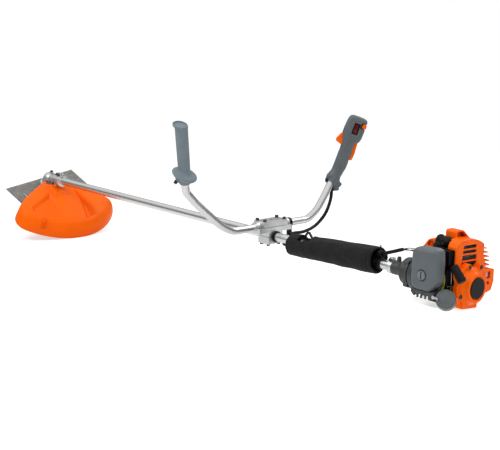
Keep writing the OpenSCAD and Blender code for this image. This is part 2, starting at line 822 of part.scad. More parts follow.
module cylinder_barrel() {
    color(silver) at_cylinder() difference() {
        union() {
            rod_z(cyl_base - 10, head_top - 10, bore_d / 2 + 2);
            block([-27, -27, cyl_base], [27, 27, cyl_base + 5]);
            for (i = [0:8]) cylinder_fin(cyl_base + 9 + i * 6, 36, fin_r);
            for (i = [-4:4]) block([i * 7 - 0.9, -26, head_top - 12], [i * 7 + 0.9, 26, head_top + 4]);
            rod_z(head_top - 12, head_top + 2, 13);
            // Intake and exhaust ports
            translate([0, 0, 66]) rod_y(-37, 0, 13);
            translate([0, 0, 66]) rod_y(0, 38, 13);
            block([-16, -37, 52], [16, -33, 80]);
            block([-18, 34, 50], [18, 38, 82]);
        }
        rod_z(0, piston_top + 3, bore_d / 2);
        translate([0, 0, piston_top + 3]) cylinder(h = 5, r1 = bore_d / 2, r2 = 9);
        rod_z(piston_top, head_top + 20, 5);
        rod_z(head_top + 2, head_top + 20, 10);
        translate([0, 0, 66]) rod_y(-60, -19, 8);
        translate([0, 0, 66]) rod_y(19, 60, 9);
    }
}

module spark_plug() {
    color("white") at_cylinder() {
        rod_z(piston_top + 4, head_top + 1.99, 4.9);
        translate([0, 0, head_top + 2]) cylinder(h = 5, r = 9, $fn = 6);
        rod_z(head_top + 7, head_top + 17, 5);
    }
}

// Rubber cap on the plug, with the lead that runs forward to the coil
lead_route = [[cyl_x - 6, -7, head_top + 16], [cyl_x - 18, -14, head_top + 15], [cyl_x - 34, -22, 115],
    [cyl_x - 44, -24, 101], [cyl_x - 52, -22, 84], [cyl_x - 60, -12, 72], [cyl_x - 64, -6, 66]];

module plug_cap() {
    color(black) on_shaft() difference() {
        union() {
            translate([cyl_x, -2, head_top + 10]) cylinder(h = 10, r = 12.5);
            translate([cyl_x, -2, head_top + 20]) sphere(r = 12.5);
            translate([cyl_x - 6, -6, head_top + 16]) sphere(r = 10);
            sweep(spline(lead_route, 4), 4, 10);
        }
        translate([cyl_x, 0, head_top]) rod_z(-2, 7, 12);
        translate([cyl_x, 0, head_top]) rod_z(5, 17, 5);
        translate([cyl_x, 0, head_top]) rod_z(5, 10.5, 9.4);
    }
}

module flywheel() {
    color(silver) on_shaft() difference() {
        union() {
            rod_x(122, 128, wheel_r);
            rod_x(112, 140, 15);
            ring_x(122, 138, wheel_r - 6, wheel_r);
            for (i = [0:13]) rotate([360 * i / 14, 0, 0]) block([108, 18, -1.1], [122.5, wheel_r - 1, 1.1]);
        }
        rod_x(100, 150, 7.5);
    }
}

module fan_cover() {
    color(orange) on_shaft() difference() {
        union() {
            rod_x(100.3, 160, wheel_r + 7.5);
            // Air duct up to the cylinder
            rotate([90, 0, 0]) linear_extrude(height = 72, center = true)
                polygon([[108, 0], [108, 66], [122, 84], [142, 96], [164, 98], [164, 0]]);
        }
        rod_x(102.8, 170, wheel_r + 4);
        rod_x(90, 110, 24);
        rotate([90, 0, 0]) linear_extrude(height = 72 - 2 * skin, center = true)
            polygon([[111, 0], [111, 64], [124, 81], [143, 93], [170, 95.5], [170, 0]]);
        for (i = [0:11]) rotate([i * 30 + 15, 0, 0]) block([98, 29, -4], [106, 43, 4]);
        translate([112, -15, 62]) block([-10, -8, -5], [0, 12, 5]);
        // Notch where the ignition lead comes out
        block([146, -31, 70], [170, -16, 110]);
    }
}

module ignition_coil() {
    color(black) on_shaft() {
        block([124, -18, wheel_r + 0.6], [136, 18, wheel_r + 3.4]);
        block([118, -13, wheel_r + 3.4], [140, 13, wheel_r + 18]);
    }
}

// Exhaust box on the far side of the cylinder
module muffler() {
    color(dark) at_cylinder() difference() {
        union() {
            block([-18, 38.2, 48], [18, 44, 84]);
            translate([0, 44, 0]) rotate([-90, 0, 0]) linear_extrude(height = 42)
                round_rect([-34, -93], [38, -30], 10);
            translate([30, 70, 40]) rotate([0, 90, 0]) cylinder(h = 22, r = 9);
        }
        translate([-32, 46, 0]) block([0, 0, 40], [64, 38, 88]);
        translate([28, 70, 40]) rotate([0, 90, 0]) cylinder(h = 30, r = 7);
    }
}

cover_top = 117;
cover_rear = 258;

// Upper outline of the engine cover, looking forward: it drops towards the exhaust side
module cover_outline(inset) {
    polygon([[-44 + inset, 24 - inset], [-44 + inset, cover_top - 10], [-38, cover_top - 2 - inset],
        [-28, cover_top - inset], [44, cover_top - 6 - inset], [74, cover_top - 12 - inset],
        [88, cover_top - 22 - inset / 2], [95 - inset, cover_top - 38], [97 - inset, 60], [97 - inset, 24 - inset]]);
}

module cover_plan(inset) {
    translate([0, 0]) round_rect([150 + inset, -60 + inset], [cover_rear - inset, 97 - inset], 20 - inset);
}

module cover_mass(inset) {
    intersection() {
        rotate([90, 0, 90]) linear_extrude(height = cover_rear + 10) cover_outline(inset);
        translate([0, 0, 20 - 2 * inset]) linear_extrude(height = 140) cover_plan(inset);
    }
}

module engine_cover() {
    color(orange) on_shaft() difference() {
        union() {
            cover_mass(0);
            // Raised top piece beside the spark plug
            intersection() {
                translate([0, 14, 0]) rotate([90, 0, 0]) linear_extrude(height = 46, center = true)
                    polygon([[152, 80], [152, 104], [168, 122], [186, 133], [226, 136], [244, 128], [250, 100]]);
                translate([0, 0, 60]) linear_extrude(height = 90) round_rect([150, -8], [252, 38], 12);
            }
        }
        difference() {
            cover_mass(skin);
            block([140, -70, 0], [166, 100, 54]);
        }
        intersection() {
            translate([0, 14, 0]) rotate([90, 0, 0]) linear_extrude(height = 46, center = true)
                polygon([[155, 70], [155, 102], [170, 119], [187, 130], [225, 133], [241, 126], [247, 90]]);
            translate([0, 0, 50]) linear_extrude(height = 90) round_rect([153, -5.5], [249, 35.5], 10);
        }
        // Open front, open bottom and the carburettor side
        block([140, -70, 0], [166, 110, 200]);
        block([140, -70, 0], [232, -30, 200]);
        block([160, -34, 100], [222, 17, 160]);
        translate([starter_x - 0.4, 0, 0]) rotate([90, 0, 90]) linear_extrude(height = 60) starter_form(-0.4);
        // Four louvre windows in the rear face
        for (i = [0:3]) block([250, -26 + i * 2.4, 42 + i * 16.6], [270, 44 + i * 0.6, 54 + i * 16.6]);
        // Slots that wrap round the exhaust corner
        for (i = [0:4]) block([228, 70, 44 + i * 11], [270, 110, 49.4 + i * 11]);
        // Recess in the top piece
        translate([0, 30, 0]) rotate([90, 0, 0]) linear_extrude(height = 34, center = true)
            polygon([[214, 131], [244, 126], [240, 114]]);
        translate([cyl_x, 70, 40]) rotate([0, 90, 0]) cylinder(h = 90, r = 11);
        // Screw bosses' seats on the crankcase
        rod_x(100, 300, 45);
        block([120, -48, -60], [300, 46, 27]);
    }
}

starter_x = 242;
starter_face = 286;
label_r = 26.5;
starter_screws = [[-46, 37], [-46, -17], [-16, 52], [30, 46]];

module starter_form(inset) {
    circle(r = 58 - inset);
    difference() {
        round_rect([-62 + inset, -50.4 + inset], [12 - inset, 0], 8);
        translate([-62, -50]) circle(r = 12);
    }
    for (p = starter_screws) translate(p) circle(r = 10 - inset);
}

module starter_housing() {
    color(orange) on_shaft() {
        difference() {
            union() {
                translate([starter_x, 0, 0]) rotate([90, 0, 90])
                    linear_extrude(height = starter_face - starter_x - 8) starter_form(0);
                translate([starter_face - 8, 0, 0]) rotate([0, 90, 0]) cylinder(h = 8, r1 = 56, r2 = 44);
                rod_x(starter_face - 1, starter_face + 6, 31);
            }
            translate([starter_x - 1, 0, 0]) rod_x(0, 37, 51);
            for (p = starter_screws) translate([0, p.x, p.y]) {
                rod_x(starter_face - 12, starter_face + 6, 5);
                rod_x(starter_face - 30, starter_face, 2.4);
            }
            for (i = [0:5]) rotate([i * 18 - 12, 0, 0]) block([276, 34, -2.4], [300, 50, 2.4]);
            rod_x(starter_face + 4, starter_face + 8, label_r);
            sweep([starter_grip_at - 52 * pull_dir, starter_grip_at + 20 * pull_dir], 3.2, 16);
            block([240, -80, -70], [300, 80, -50.6]);
            // Room for the filler neck and its cap
            along_neck() {
                rod_z(-13, 12, 25);
                rod_z(-60, -6, 15.6);
            }
            translate([neck_foot.x, neck_foot.y, 0]) rod_z(-60, -38, 15.6);
        }
        // Post for the rope pulley, and the plain round badge
        rod_x(261, starter_face - 6, 6);
    }
}

module starter_badge() {
    color(black) on_shaft() rod_x(starter_face + 4, starter_face + 6.6, label_r - 0.2);
}

module starter_pulley() {
    color(black) on_shaft() difference() {
        union() {
            rod_x(260, 262, 44.2);
            rod_x(262, 273, 30);
            rod_x(273, 275, 44.2);
            // Rope wound on the pulley
            ring_x(262.5, 272.5, 29, 42.5);
            for (a = [0, 180]) rotate([a, 0, 0]) block([252, 14, -4], [260.1, 26, 4]);
        }
        rod_x(250, 280, 6 + run_gap);
        rod_x(250, 260.4, 12);
    }
}

// The rope leaves the pulley along the pull direction, and the bar of the grip lies across it
pull_dir = unit([0.2, -0.915, -0.351]);
grip_bar = unit([0.55, 0.297, -0.46]);
starter_grip_at = [280, -72, 20];

module starter_grip() {
    color(black) on_shaft() {
        sweep([for (t = [-22, -20, -14, 0, 14, 20, 22]) starter_grip_at + t * grip_bar], 8.2, 20);
        sweep([starter_grip_at - 15 * pull_dir, starter_grip_at], 6, 16);
        sweep([starter_grip_at - 78 * pull_dir, starter_grip_at - 14 * pull_dir], 1.8, 10);
    }
}

// ---------- intake ----------

carb_face = -46;
base_face = -73;

module carburettor() {
    color(black) at_cylinder() {
        // Heat insulator, body, pump cover and throttle drum
        difference() {
            block([-18, carb_face, 50], [18, -37.3, 82]);
            translate([0, 0, 66]) rod_y(-60, -30, 8);
        }
        difference() {
            union() {
                block([-19, base_face, 50], [19, carb_face, 84]);
                block([-17, base_face + 3, 44], [17, carb_face - 3, 50.1]);
                translate([24, -60, 58]) rotate([0, 90, 0]) cylinder(h = 12, r = 9, center = true);
                block([17, -66, 50], [22, -52, 82]);
                translate([-8, -59, 84]) rod_z(-1, 6, 7);
            }
            translate([0, 0, 66]) rod_y(-90, -40, 8);
            translate([20.6, -60, 58]) rotate([0, 90, 0]) cylinder(h = 30, r = 7.4);
        }
    }
}

module primer_bulb() {
    color("#d02020") at_cylinder() translate([25, -60, 58]) {
        rotate([0, 90, 0]) cylinder(h = 4, r = 7);
        intersection() {
            translate([2, 0, 0]) sphere(r = 7);
            rod_x(2, 20, 8);
        }
    }
}

filter_x0 = 167;
filter_x1 = 251;

module filter_outline(inset) {
    round_rect([filter_x0 + inset, -8 + inset], [filter_x1 - inset, 106 - inset], 13 - inset);
}

module along_left(y0, y1) {
    translate([0, y1, 0]) rotate([90, 0, 0]) linear_extrude(height = y1 - y0) children();
}

module air_filter_base() {
    color(dark) on_shaft() difference() {
        union() {
            along_left(-79, base_face) filter_outline(1);
            // Notched air snorkel under the cover
            along_left(-104, -79) polygon([[172, -8.4], [172, -16], [184, -27], [240, -27], [248, -14], [248, -8.4]]);
            along_left(-79.01, base_face) polygon([[172, 0], [172, -16], [184, -27], [228, -27], [228, 0]]);
            along_left(-96, -79) filter_outline(10);
        }
        translate([cyl_x, 0, 66]) rod_y(-120, 0, 8);
        for (i = [0:3]) block([180 + i * 15, -110, -30], [188 + i * 15, -98, -18]);
        along_left(-101, -82) polygon([[180, -11], [180, -14], [190, -24], [218, -24], [222, -12], [222, -11]]);
        along_neck() rod_z(-20, 8, 24.8);
        translate(choke_pivot) rod_y(-120, -96, 2.2 + run_gap);
    }
}

knob_at = [209, -116, 33];

module air_filter_cover() {
    color(grey) on_shaft() difference() {
        union() {
            along_left(-106, -79.3) filter_outline(0);
            along_left(-110, -105.9) filter_outline(2.5);
            along_left(-113, -109.9) filter_outline(6);
            along_left(-115.5, -112.9) filter_outline(11);
        }
        along_left(-105, -79) filter_outline(skin);
        translate([knob_at.x, 0, knob_at.z]) rod_y(-118, -111, 12);
        along_neck() rod_z(-20, 8, 24.8);
    }
}

// Screw knob with a coin slot
module filter_knob() {
    color(grey) on_shaft() translate([knob_at.x, 0, knob_at.z]) difference() {
        rod_y(-116.5, -111, 11.6);
        block([-1.6, -120, -10], [1.6, -114, 10]);
    }
}

choke_pivot = [241, 0, -16];

module choke_lever() {
    color(silver) on_shaft() translate(choke_pivot) {
        rod_y(-106, -97, 2.2);
        rod_y(-106, -104.4, 4.6);
        block([0, -106, -2.4], [18, -104.4, 2.4]);
        block([15, -110, -2.4], [18, -104.4, 2.4]);
    }
}

// ---------- fuel ----------

tank_x0 = 114;
tank_x1 = 278;
tank_half = 76;
tank_top = -51;
tank_low = -110;
cap_dir = [0.45, -0.75, 0.48];
cap_at = [262, -82, -22];

neck_foot = [247, -56];

// Turns +Z to the direction of the filler neck
module along_neck() {
    translate(cap_at) rotate([0, acos(cap_dir.z / norm(cap_dir)), atan2(cap_dir.y, cap_dir.x)]) children();
}

module tank_form(inset) {
    intersection() {
        translate([0, 0, tank_low + inset]) linear_extrude(height = tank_top - tank_low - 2 * inset)
            round_rect([tank_x0 + inset, -tank_half + inset], [tank_x1 - inset, tank_half - inset], 22 - inset);
        rotate([90, 0, 0]) linear_extrude(height = 400, center = true)
            intersection() {
                round_rect([tank_x0 + inset, tank_low + inset], [tank_x1 - inset, tank_top - inset], 12 - inset);
                // The lower rear edge is cut back above the feet
                polygon([[tank_x0, tank_low], [250 - inset, tank_low], [tank_x1, tank_low + 28 + inset],
                    [tank_x1, tank_top], [tank_x0, tank_top]]);
            }
    }
}

fuel_routes = [
    [[223.4, -62, 46], [236, -62, 30], [238, -64, 8], [230, -62, -14], [226, -60, -34], [226, -58, -53]],
    [[216, -58, 39.5], [228, -54, 20], [230, -52, 0], [222, -50, -22], [216, -50, -53]]];

module fuel_tank() {
    color("#f2f2ee") on_shaft() {
        difference() {
            union() {
                tank_form(0);
                along_neck() rod_z(-38, -6, 15);
                translate([neck_foot.x, neck_foot.y, 0]) rod_z(tank_top - 4, -40, 15);
            }
            tank_form(2.4);
            along_neck() rod_z(-36, 0, 11.5);
            translate([neck_foot.x, neck_foot.y, 0]) rod_z(tank_top - 5, -42, 11.5);
            for (r = fuel_routes) translate([r[len(r) - 1].x, r[len(r) - 1].y, 0]) rod_z(-60, -40, 3.1);
        }
        // Rubber blocks between tank and crankcase
        for (x = [182, 222], y = [-22, 22]) block([x - 7, y - 7, tank_top], [x + 7, y + 7, -50.8]);
    }
}

module fuel_lines() {
    color("#c9c23a") on_shaft() for (r = fuel_routes) sweep(spline(r, 4), 3, 10);
}

module fuel_cap() {
    color(grey) on_shaft() along_neck() difference() {
        union() {
            rod_z(-12, 0, 22.5);
            translate([0, 0, -0.01]) cylinder(h = 3, r1 = 22.5, r2 = 19.5);
            for (a = [0:20:340]) rotate([0, 0, a]) translate([22.5, 0, -12]) cylinder(h = 12, r = 1.6);
        }
        rod_z(-13, -5.8, 15.2);
        translate([0, 0, 2]) rotate_extrude() translate([12, 0]) square([1.2, 3]);
    }
}

foot_places = [[140, -34], [140, 34], [228, -48], [228, 56]];

module tank_feet() {
    // Rubber feet, cut level with the ground
    color(black) difference() {
        on_shaft() for (p = foot_places) translate([p.x, p.y, -150]) cylinder(h = 150 + tank_low, r = 9);
        translate([0, 0, -100]) cube([4000, 1000, 200], center = true);
    }
}

gear_case();
pinion_gear();
output_gear();
head_bearings();
output_shaft();
blade_holder();
blade();
outer_flange();
stabilizer_cup();
blade_nut();
guard_bracket();
guard();
line_cutter();
socket_screws();
shaft_tube();
drive_shaft();
shaft_bushings();
handle_bracket();
handlebars();
left_grip();
handle_shell_inner();
handle_shell_outer();
throttle_trigger();
lockout_lever();
stop_switch();
start_lock_button();
throttle_conduit();
cable_clips();
hip_pad();
harness_hanger();
tube_clamp();
clutch_housing();
clutch_drum();
clutch_shoes();
crankcase();
crankshaft();
connecting_rod();
piston();
cylinder_barrel();
flywheel();
fan_cover();
ignition_coil();
spark_plug();
plug_cap();
muffler();
engine_cover();
starter_housing();
starter_badge();
starter_pulley();
starter_grip();
carburettor();
primer_bulb();
air_filter_base();
air_filter_cover();
filter_knob();
choke_lever();
fuel_tank();
fuel_lines();
fuel_cap();
tank_feet();
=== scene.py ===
import json
import math
import bpy
import bmesh
from mathutils import Matrix, Vector, noise

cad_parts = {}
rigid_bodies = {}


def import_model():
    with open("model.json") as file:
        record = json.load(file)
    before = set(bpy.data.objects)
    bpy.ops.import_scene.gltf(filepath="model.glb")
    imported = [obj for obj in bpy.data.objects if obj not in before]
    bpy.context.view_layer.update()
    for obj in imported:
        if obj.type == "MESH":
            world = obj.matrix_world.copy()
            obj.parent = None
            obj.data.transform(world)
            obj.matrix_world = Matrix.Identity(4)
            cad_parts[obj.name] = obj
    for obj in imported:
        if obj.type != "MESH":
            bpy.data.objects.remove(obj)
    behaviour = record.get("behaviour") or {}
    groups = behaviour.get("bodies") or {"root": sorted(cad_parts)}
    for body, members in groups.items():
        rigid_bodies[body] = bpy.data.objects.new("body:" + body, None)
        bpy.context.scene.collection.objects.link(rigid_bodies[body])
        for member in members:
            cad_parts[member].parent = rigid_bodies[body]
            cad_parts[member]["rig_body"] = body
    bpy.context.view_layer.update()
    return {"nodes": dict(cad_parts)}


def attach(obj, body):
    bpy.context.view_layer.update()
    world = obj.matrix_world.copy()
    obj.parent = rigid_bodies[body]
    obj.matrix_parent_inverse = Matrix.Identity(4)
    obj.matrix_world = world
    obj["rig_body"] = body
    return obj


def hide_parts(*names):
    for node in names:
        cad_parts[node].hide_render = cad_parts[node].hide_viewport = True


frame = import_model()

nodes = frame["nodes"]
scene = bpy.context.scene
MM = 0.001
SHARP_EDGE = math.radians(35)

# ---------- frames of the machine (millimetres in, metres out) ----------
# SHAFT starts where the clutch clamp begins, with X along the drive line towards the engine
SHAFT_AT = (0.695, -0.00481, 0.126)
SHAFT = (Matrix.Translation(SHAFT_AT) @ Matrix.Rotation(math.radians(2.33), 4, "Y")
         @ Matrix.Scale(MM, 4))
HEAD = SHAFT @ Matrix.Translation((-1608, 0, 0)) @ Matrix.Rotation(math.radians(30), 4, "Y")
GRIP_PLACE = (Matrix.Translation((-473, 288, 125)) @ Matrix.Rotation(math.radians(52.1), 4, "Z")
              @ Matrix.Rotation(math.radians(18.9), 4, "Y"))
GRIP = SHAFT @ GRIP_PLACE
LEFT_GRIP = SHAFT @ Matrix.Scale(-1, 4, (0, 1, 0)) @ GRIP_PLACE


# ---------- materials ----------
def material(name, color, rough=0.5, metal=0.0, shade=0.08, patch=25.0, grain=900.0, bump=0.08,
             depth=0.0002, rough_var=0.08, painted_crease_shade=None, stretch=None, transmission=0.0, sheen=0.0,
             weave=None, wear=None, spec=0.5, glow=0.0):
    """Procedural surface: large soft colour patches, fine grain bump and a little roughness variation."""
    m = bpy.data.materials.new(name)
    m.use_nodes = True
    nt = m.node_tree
    b = nt.nodes["Principled BSDF"]
    link = nt.links.new
    b.inputs["Metallic"].default_value = metal
    b.inputs["Specular IOR Level"].default_value = spec
    # The emission below, scaled by glow, is light of the surface's own: painted light, used by the tank
    # alone.
    b.inputs["Emission Color"].default_value = list(color) + [1]
    b.inputs["Emission Strength"].default_value = glow
    b.inputs["Transmission Weight"].default_value = transmission
    b.inputs["Sheen Weight"].default_value = sheen
    co = nt.nodes.new("ShaderNodeTexCoord")
    src = co.outputs["Object"]
    if stretch:
        mp = nt.nodes.new("ShaderNodeMapping")
        mp.inputs["Scale"].default_value = stretch
        link(src, mp.inputs["Vector"])
        src = mp.outputs["Vector"]
    big = nt.nodes.new("ShaderNodeTexNoise")
    big.inputs["Scale"].default_value = patch
    big.inputs["Detail"].default_value = 4
    link(src, big.inputs["Vector"])
    ramp = nt.nodes.new("ShaderNodeValToRGB")
    ramp.color_ramp.elements[0].position = 0.3
    ramp.color_ramp.elements[1].position = 0.7
    ramp.color_ramp.elements[0].color = [c * (1 - shade) for c in color] + [1]
    ramp.color_ramp.elements[1].color = [min(1, c * (1 + shade)) for c in color] + [1]
    link(big.outputs["Fac"], ramp.inputs["Fac"])
    out = ramp.outputs["Color"]
    # Wear lightens convex edges; the crease tint darkens creases and hollows instead, which is painted
    # shade.
    if wear or painted_crease_shade:
        wear_or_shade_tint = wear or painted_crease_shade
        geo = nt.nodes.new("ShaderNodeNewGeometry")
        edge = nt.nodes.new("ShaderNodeMapRange")
        edge.inputs["From Min"].default_value = 0.52 if wear else 0.5
        edge.inputs["From Max"].default_value = 0.62 if wear else 0.42
        link(geo.outputs["Pointiness"], edge.inputs["Value"])
        spots = nt.nodes.new("ShaderNodeTexNoise")
        spots.inputs["Scale"].default_value = 160
        spots.inputs["Detail"].default_value = 3
        link(src, spots.inputs["Vector"])
        mul = nt.nodes.new("ShaderNodeMath")
        mul.operation = "MULTIPLY"
        link(edge.outputs["Result"], mul.inputs[0])
        link(spots.outputs["Fac"], mul.inputs[1])
        mix = nt.nodes.new("ShaderNodeMix")
        mix.data_type = "RGBA"
        mix.inputs["B"].default_value = list(wear_or_shade_tint) + [1]
        link(mul.outputs["Value"], mix.inputs["Factor"])
        link(out, mix.inputs["A"])
        out = mix.outputs["Result"]
    link(out, b.inputs["Base Color"])
    vary = nt.nodes.new("ShaderNodeMapRange")
    vary.inputs["To Min"].default_value = max(0.03, rough - rough_var)
    vary.inputs["To Max"].default_value = min(1, rough + rough_var)
    rough_noise = nt.nodes.new("ShaderNodeTexNoise")
    rough_noise.inputs["Scale"].default_value = patch * 3
    rough_noise.inputs["Detail"].default_value = 5
    link(src, rough_noise.inputs["Vector"])
    link(rough_noise.outputs["Fac"], vary.inputs["Value"])
    link(vary.outputs["Result"], b.inputs["Roughness"])
    if weave:
        height = None
        for axis, scale in (("X", weave), ("Z", weave)):
            w = nt.nodes.new("ShaderNodeTexWave")
            w.bands_direction = axis
            w.inputs["Scale"].default_value = scale
            w.inputs["Distortion"].default_value = 0.6
            link(src, w.inputs["Vector"])
            if height is None:
                height = w.outputs["Fac"]
            else:
                mx = nt.nodes.new("ShaderNodeMath")
                mx.operation = "MAXIMUM"
                link(height, mx.inputs[0])
                link(w.outputs["Fac"], mx.inputs[1])
                height = mx.outputs["Value"]
    else:
        fine = nt.nodes.new("ShaderNodeTexNoise")
        fine.inputs["Scale"].default_value = grain
        fine.inputs["Detail"].default_value = 3
        link(src, fine.inputs["Vector"])
        height = fine.outputs["Fac"]
    bm = nt.nodes.new("ShaderNodeBump")
    bm.inputs["Strength"].default_value = bump
    bm.inputs["Distance"].default_value = depth
    link(height, bm.inputs["Height"])
    link(bm.outputs["Normal"], b.inputs["Normal"])
    return m


# Both orange materials take a darker orange in creases and hollows: painted shade.
ORANGE = material("orange plastic", (0.95, 0.128, 0.001), 0.36, shade=0.05, patch=9, grain=700, bump=0.10,
                  rough_var=0.06, painted_crease_shade=(0.60, 0.06, 0.0), spec=0.08)
COVER_ORANGE = material("cover orange", (0.95, 0.128, 0.001), 0.30, shade=0.05, patch=20, grain=900,
                        bump=0.08, rough_var=0.06, painted_crease_shade=(0.45, 0.04, 0.0), spec=0.10)
GREY = material("grey plastic", (0.105, 0.122, 0.130), 0.42, shade=0.06, patch=30, grain=1300, bump=0.25,
                wear=(0.22, 0.25, 0.26), spec=0.35)
GRIP_GREY = material("grip rubber", (0.165, 0.205, 0.230), 0.55, shade=0.05, patch=30, grain=1600,
                     bump=0.35, wear=(0.28, 0.32, 0.34), spec=0.3)
CAP_GREY = material("cap grey", (0.095, 0.108, 0.112), 0.45, shade=0.08, patch=40, grain=1300, bump=0.25,
                    spec=0.3)
BLACK = material("black plastic", (0.006, 0.006, 0.007), 0.34, shade=0.2, patch=40, grain=1200, bump=0.15,
                 spec=0.14)
RUBBER = material("black rubber", (0.006, 0.006, 0.006), 0.42, shade=0.25, patch=50, grain=1500, bump=0.2,
                  spec=0.14)
DARK_BASE = material("dark housing", (0.050, 0.055, 0.055), 0.40, shade=0.15, patch=40, grain=1000,
                     bump=0.3, spec=0.35)
TUBE = material("tube aluminium", (0.66, 0.67, 0.66), 0.24, metal=1.0, shade=0.04, patch=6, grain=700,
                bump=0.06, stretch=(0.15, 1, 1))
BAR = material("bar silver lacquer", (0.60, 0.60, 0.595), 0.26, metal=0.95, shade=0.03, patch=8,
               grain=900, bump=0.05)
CAST = material("cast aluminium", (0.55, 0.56, 0.56), 0.38, metal=0.95, shade=0.12, patch=60, grain=900,
                bump=0.45, depth=0.0003, wear=(0.85, 0.85, 0.85))
STEEL = material("machined steel", (0.50, 0.51, 0.52), 0.28, metal=1.0, shade=0.08, patch=60, grain=900,
                 bump=0.1)
BLADE = material("blade steel", (0.045, 0.047, 0.040), 0.42, metal=0.25, shade=0.16, patch=22, grain=500,
                 bump=0.12, stretch=(1, 0.3, 1), wear=(0.30, 0.30, 0.28), spec=0.3)
SCREW = material("blackened screws", (0.015, 0.015, 0.016), 0.35, metal=0.6, shade=0.2, patch=80,
                 grain=1200, bump=0.2, wear=(0.12, 0.12, 0.12))
COATED = material("muffler coating", (0.060, 0.022, 0.016), 0.6, metal=0.3, shade=0.3, patch=60,
                  grain=900, bump=0.4)
# The tank glows with light of its own, painted light that washes it out to plain white.
TANK = material("milky tank", (0.97, 0.97, 0.96), 0.36, shade=0.01, patch=18, grain=900, bump=0.12,
                transmission=0.2, glow=0.3)
RED = material("red plastic", (0.35, 0.008, 0.008), 0.30, shade=0.12, patch=60, grain=900, bump=0.1)
SWITCH_RED = material("dark red plastic", (0.085, 0.003, 0.004), 0.34, shade=0.12, patch=60, grain=900,
                      bump=0.1, spec=0.2)
HOSE = material("fuel hose", (0.55, 0.52, 0.05), 0.22, shade=0.12, patch=60, grain=900, bump=0.05,
                transmission=0.3)
FABRIC = material("padded fabric", (0.006, 0.006, 0.007), 0.8, shade=0.3, patch=30, bump=0.5,
                  depth=0.0006, sheen=0.04, weave=420, spec=0.25)
FINS = material("grey fins", (0.20, 0.21, 0.215), 0.45, metal=0.7, shade=0.15, patch=50, grain=900,
                bump=0.3)
# Near-black copy of the grey fins for the cylinder and crankcase where they sit in shade: painted shade.
SHADE_DARK_FINS = material("fin casting darkened as painted shade", (0.022, 0.022, 0.022), 0.45, metal=0.4, shade=0.2, patch=50,
                     grain=900, bump=0.3, spec=0.3)

# The materials of the CAD nodes that stay in view
paint = {ORANGE: ["lockout_lever"], GREY: ["filter_knob"], BLACK: ["harness_hanger", "ignition_coil",
                                                                   "starter_badge", "starter_pulley",
                                                                   "carburettor", "shaft_bushings",
                                                                   "line_cutter", "cable_clips"],
         DARK_BASE: ["clutch_housing"], RUBBER: ["throttle_conduit", "tank_feet"], TUBE: ["shaft_tube"],
         BAR: ["handlebars"], CAST: ["gear_case", "handle_bracket", "tube_clamp", "piston", "flywheel"],
         SHADE_DARK_FINS: ["crankcase"], STEEL: ["pinion_gear", "output_gear", "head_bearings", "output_shaft",
                                           "blade_holder", "outer_flange", "stabilizer_cup",
                                           "guard_bracket", "drive_shaft", "clutch_drum", "crankshaft",
                                           "connecting_rod", "choke_lever"], BLADE: ["blade"],
         SCREW: ["socket_screws", "blade_nut"], COATED: ["clutch_shoes", "muffler"], TANK: ["fuel_tank"],
         RED: ["primer_bulb"], HOSE: ["fuel_lines"], }
for mat, names in paint.items():
    for n in names:
        me = nodes[n].data
        me.materials.clear()
        me.materials.append(mat)

# Bevel widths in mm
ROUND = {"gear_case": 1.2, "handle_bracket": 1.2, "tube_clamp": 0.8, "blade": 0.25, "lockout_lever": 1.2,
         "carburettor": 0.8, "fuel_tank": 2.0, "clutch_housing": 1.0, "socket_screws": 0.4,
         "starter_badge": 0.5, "filter_knob": 0.6, "choke_lever": 0.3, "muffler": 1.0, "cable_clips": 0.7,
         "harness_hanger": 0.8, "tank_feet": 1.0, "blade_holder": 0.6, "outer_flange": 0.6,
         "stabilizer_cup": 0.6, "guard_bracket": 0.6, "crankcase": 1.0, "primer_bulb": 0.3}
for n, o in nodes.items():
    o.data.shade_smooth()
    if n in ROUND:
        bv = o.modifiers.new("round", "BEVEL")
        bv.width = ROUND[n] * MM
        bv.segments = 2
        bv.limit_method = "ANGLE"
        bv.angle_limit = SHARP_EDGE
        bv.harden_normals = True
        bv.use_clamp_overlap = True
    ws = o.modifiers.new("normals", "WEIGHTED_NORMAL")
    ws.keep_sharp = True
    o.data.set_sharp_from_angle(angle=math.radians(38))


# ---------- mesh helpers ----------
def ease(a, b, x):
    t = min(1.0, max(0.0, (x - a) / (b - a)))
    return t * t * (3 - 2 * t)


def lerp_table(table, x):
    """Linear interpolation in rows of (x, values...)."""
    if x <= table[0][0]:
        return table[0][1:]
    for p, q in zip(table, table[1:]):
        if x <= q[0]:
            t = (x - p[0]) / (q[0] - p[0])
            return tuple(u + (v - u) * t for u, v in zip(p[1:], q[1:]))
    return table[-1][1:]


def add(name, verts, faces, mat, body="frame", at=SHAFT, flip=False):
    me = bpy.data.meshes.new(name)
    placed = [tuple(at @ Vector(v)) for v in verts]
    me.from_pydata(placed, [], [tuple(reversed(f)) if flip else tuple(f) for f in faces])
    me.validate()
    me.update()
    me.materials.append(mat)
    for p in me.polygons:
        p.use_smooth = True
    o = bpy.data.objects.new(name, me)
    scene.collection.objects.link(o)
    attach(o, body)
    return o


def grid_faces(rows, cols, closed=False):
    faces = []
    for i in range(rows - 1):
        for j in range(cols if closed else cols - 1):
            k = (j + 1) % cols
            faces.append((i * cols + j, i * cols + k, (i + 1) * cols + k, (i + 1) * cols + j))
    return faces


def ring_angles(count):
    return [2 * math.pi * j / count for j in range(count)]


def barrel_faces(rows, cols):
    """Faces of a closed form made of rings, with a flat face at each end."""
    ends = [tuple(range(cols))[::-1], tuple((rows - 1) * cols + j for j in range(cols))]
    return grid_faces(rows, cols, closed=True) + ends


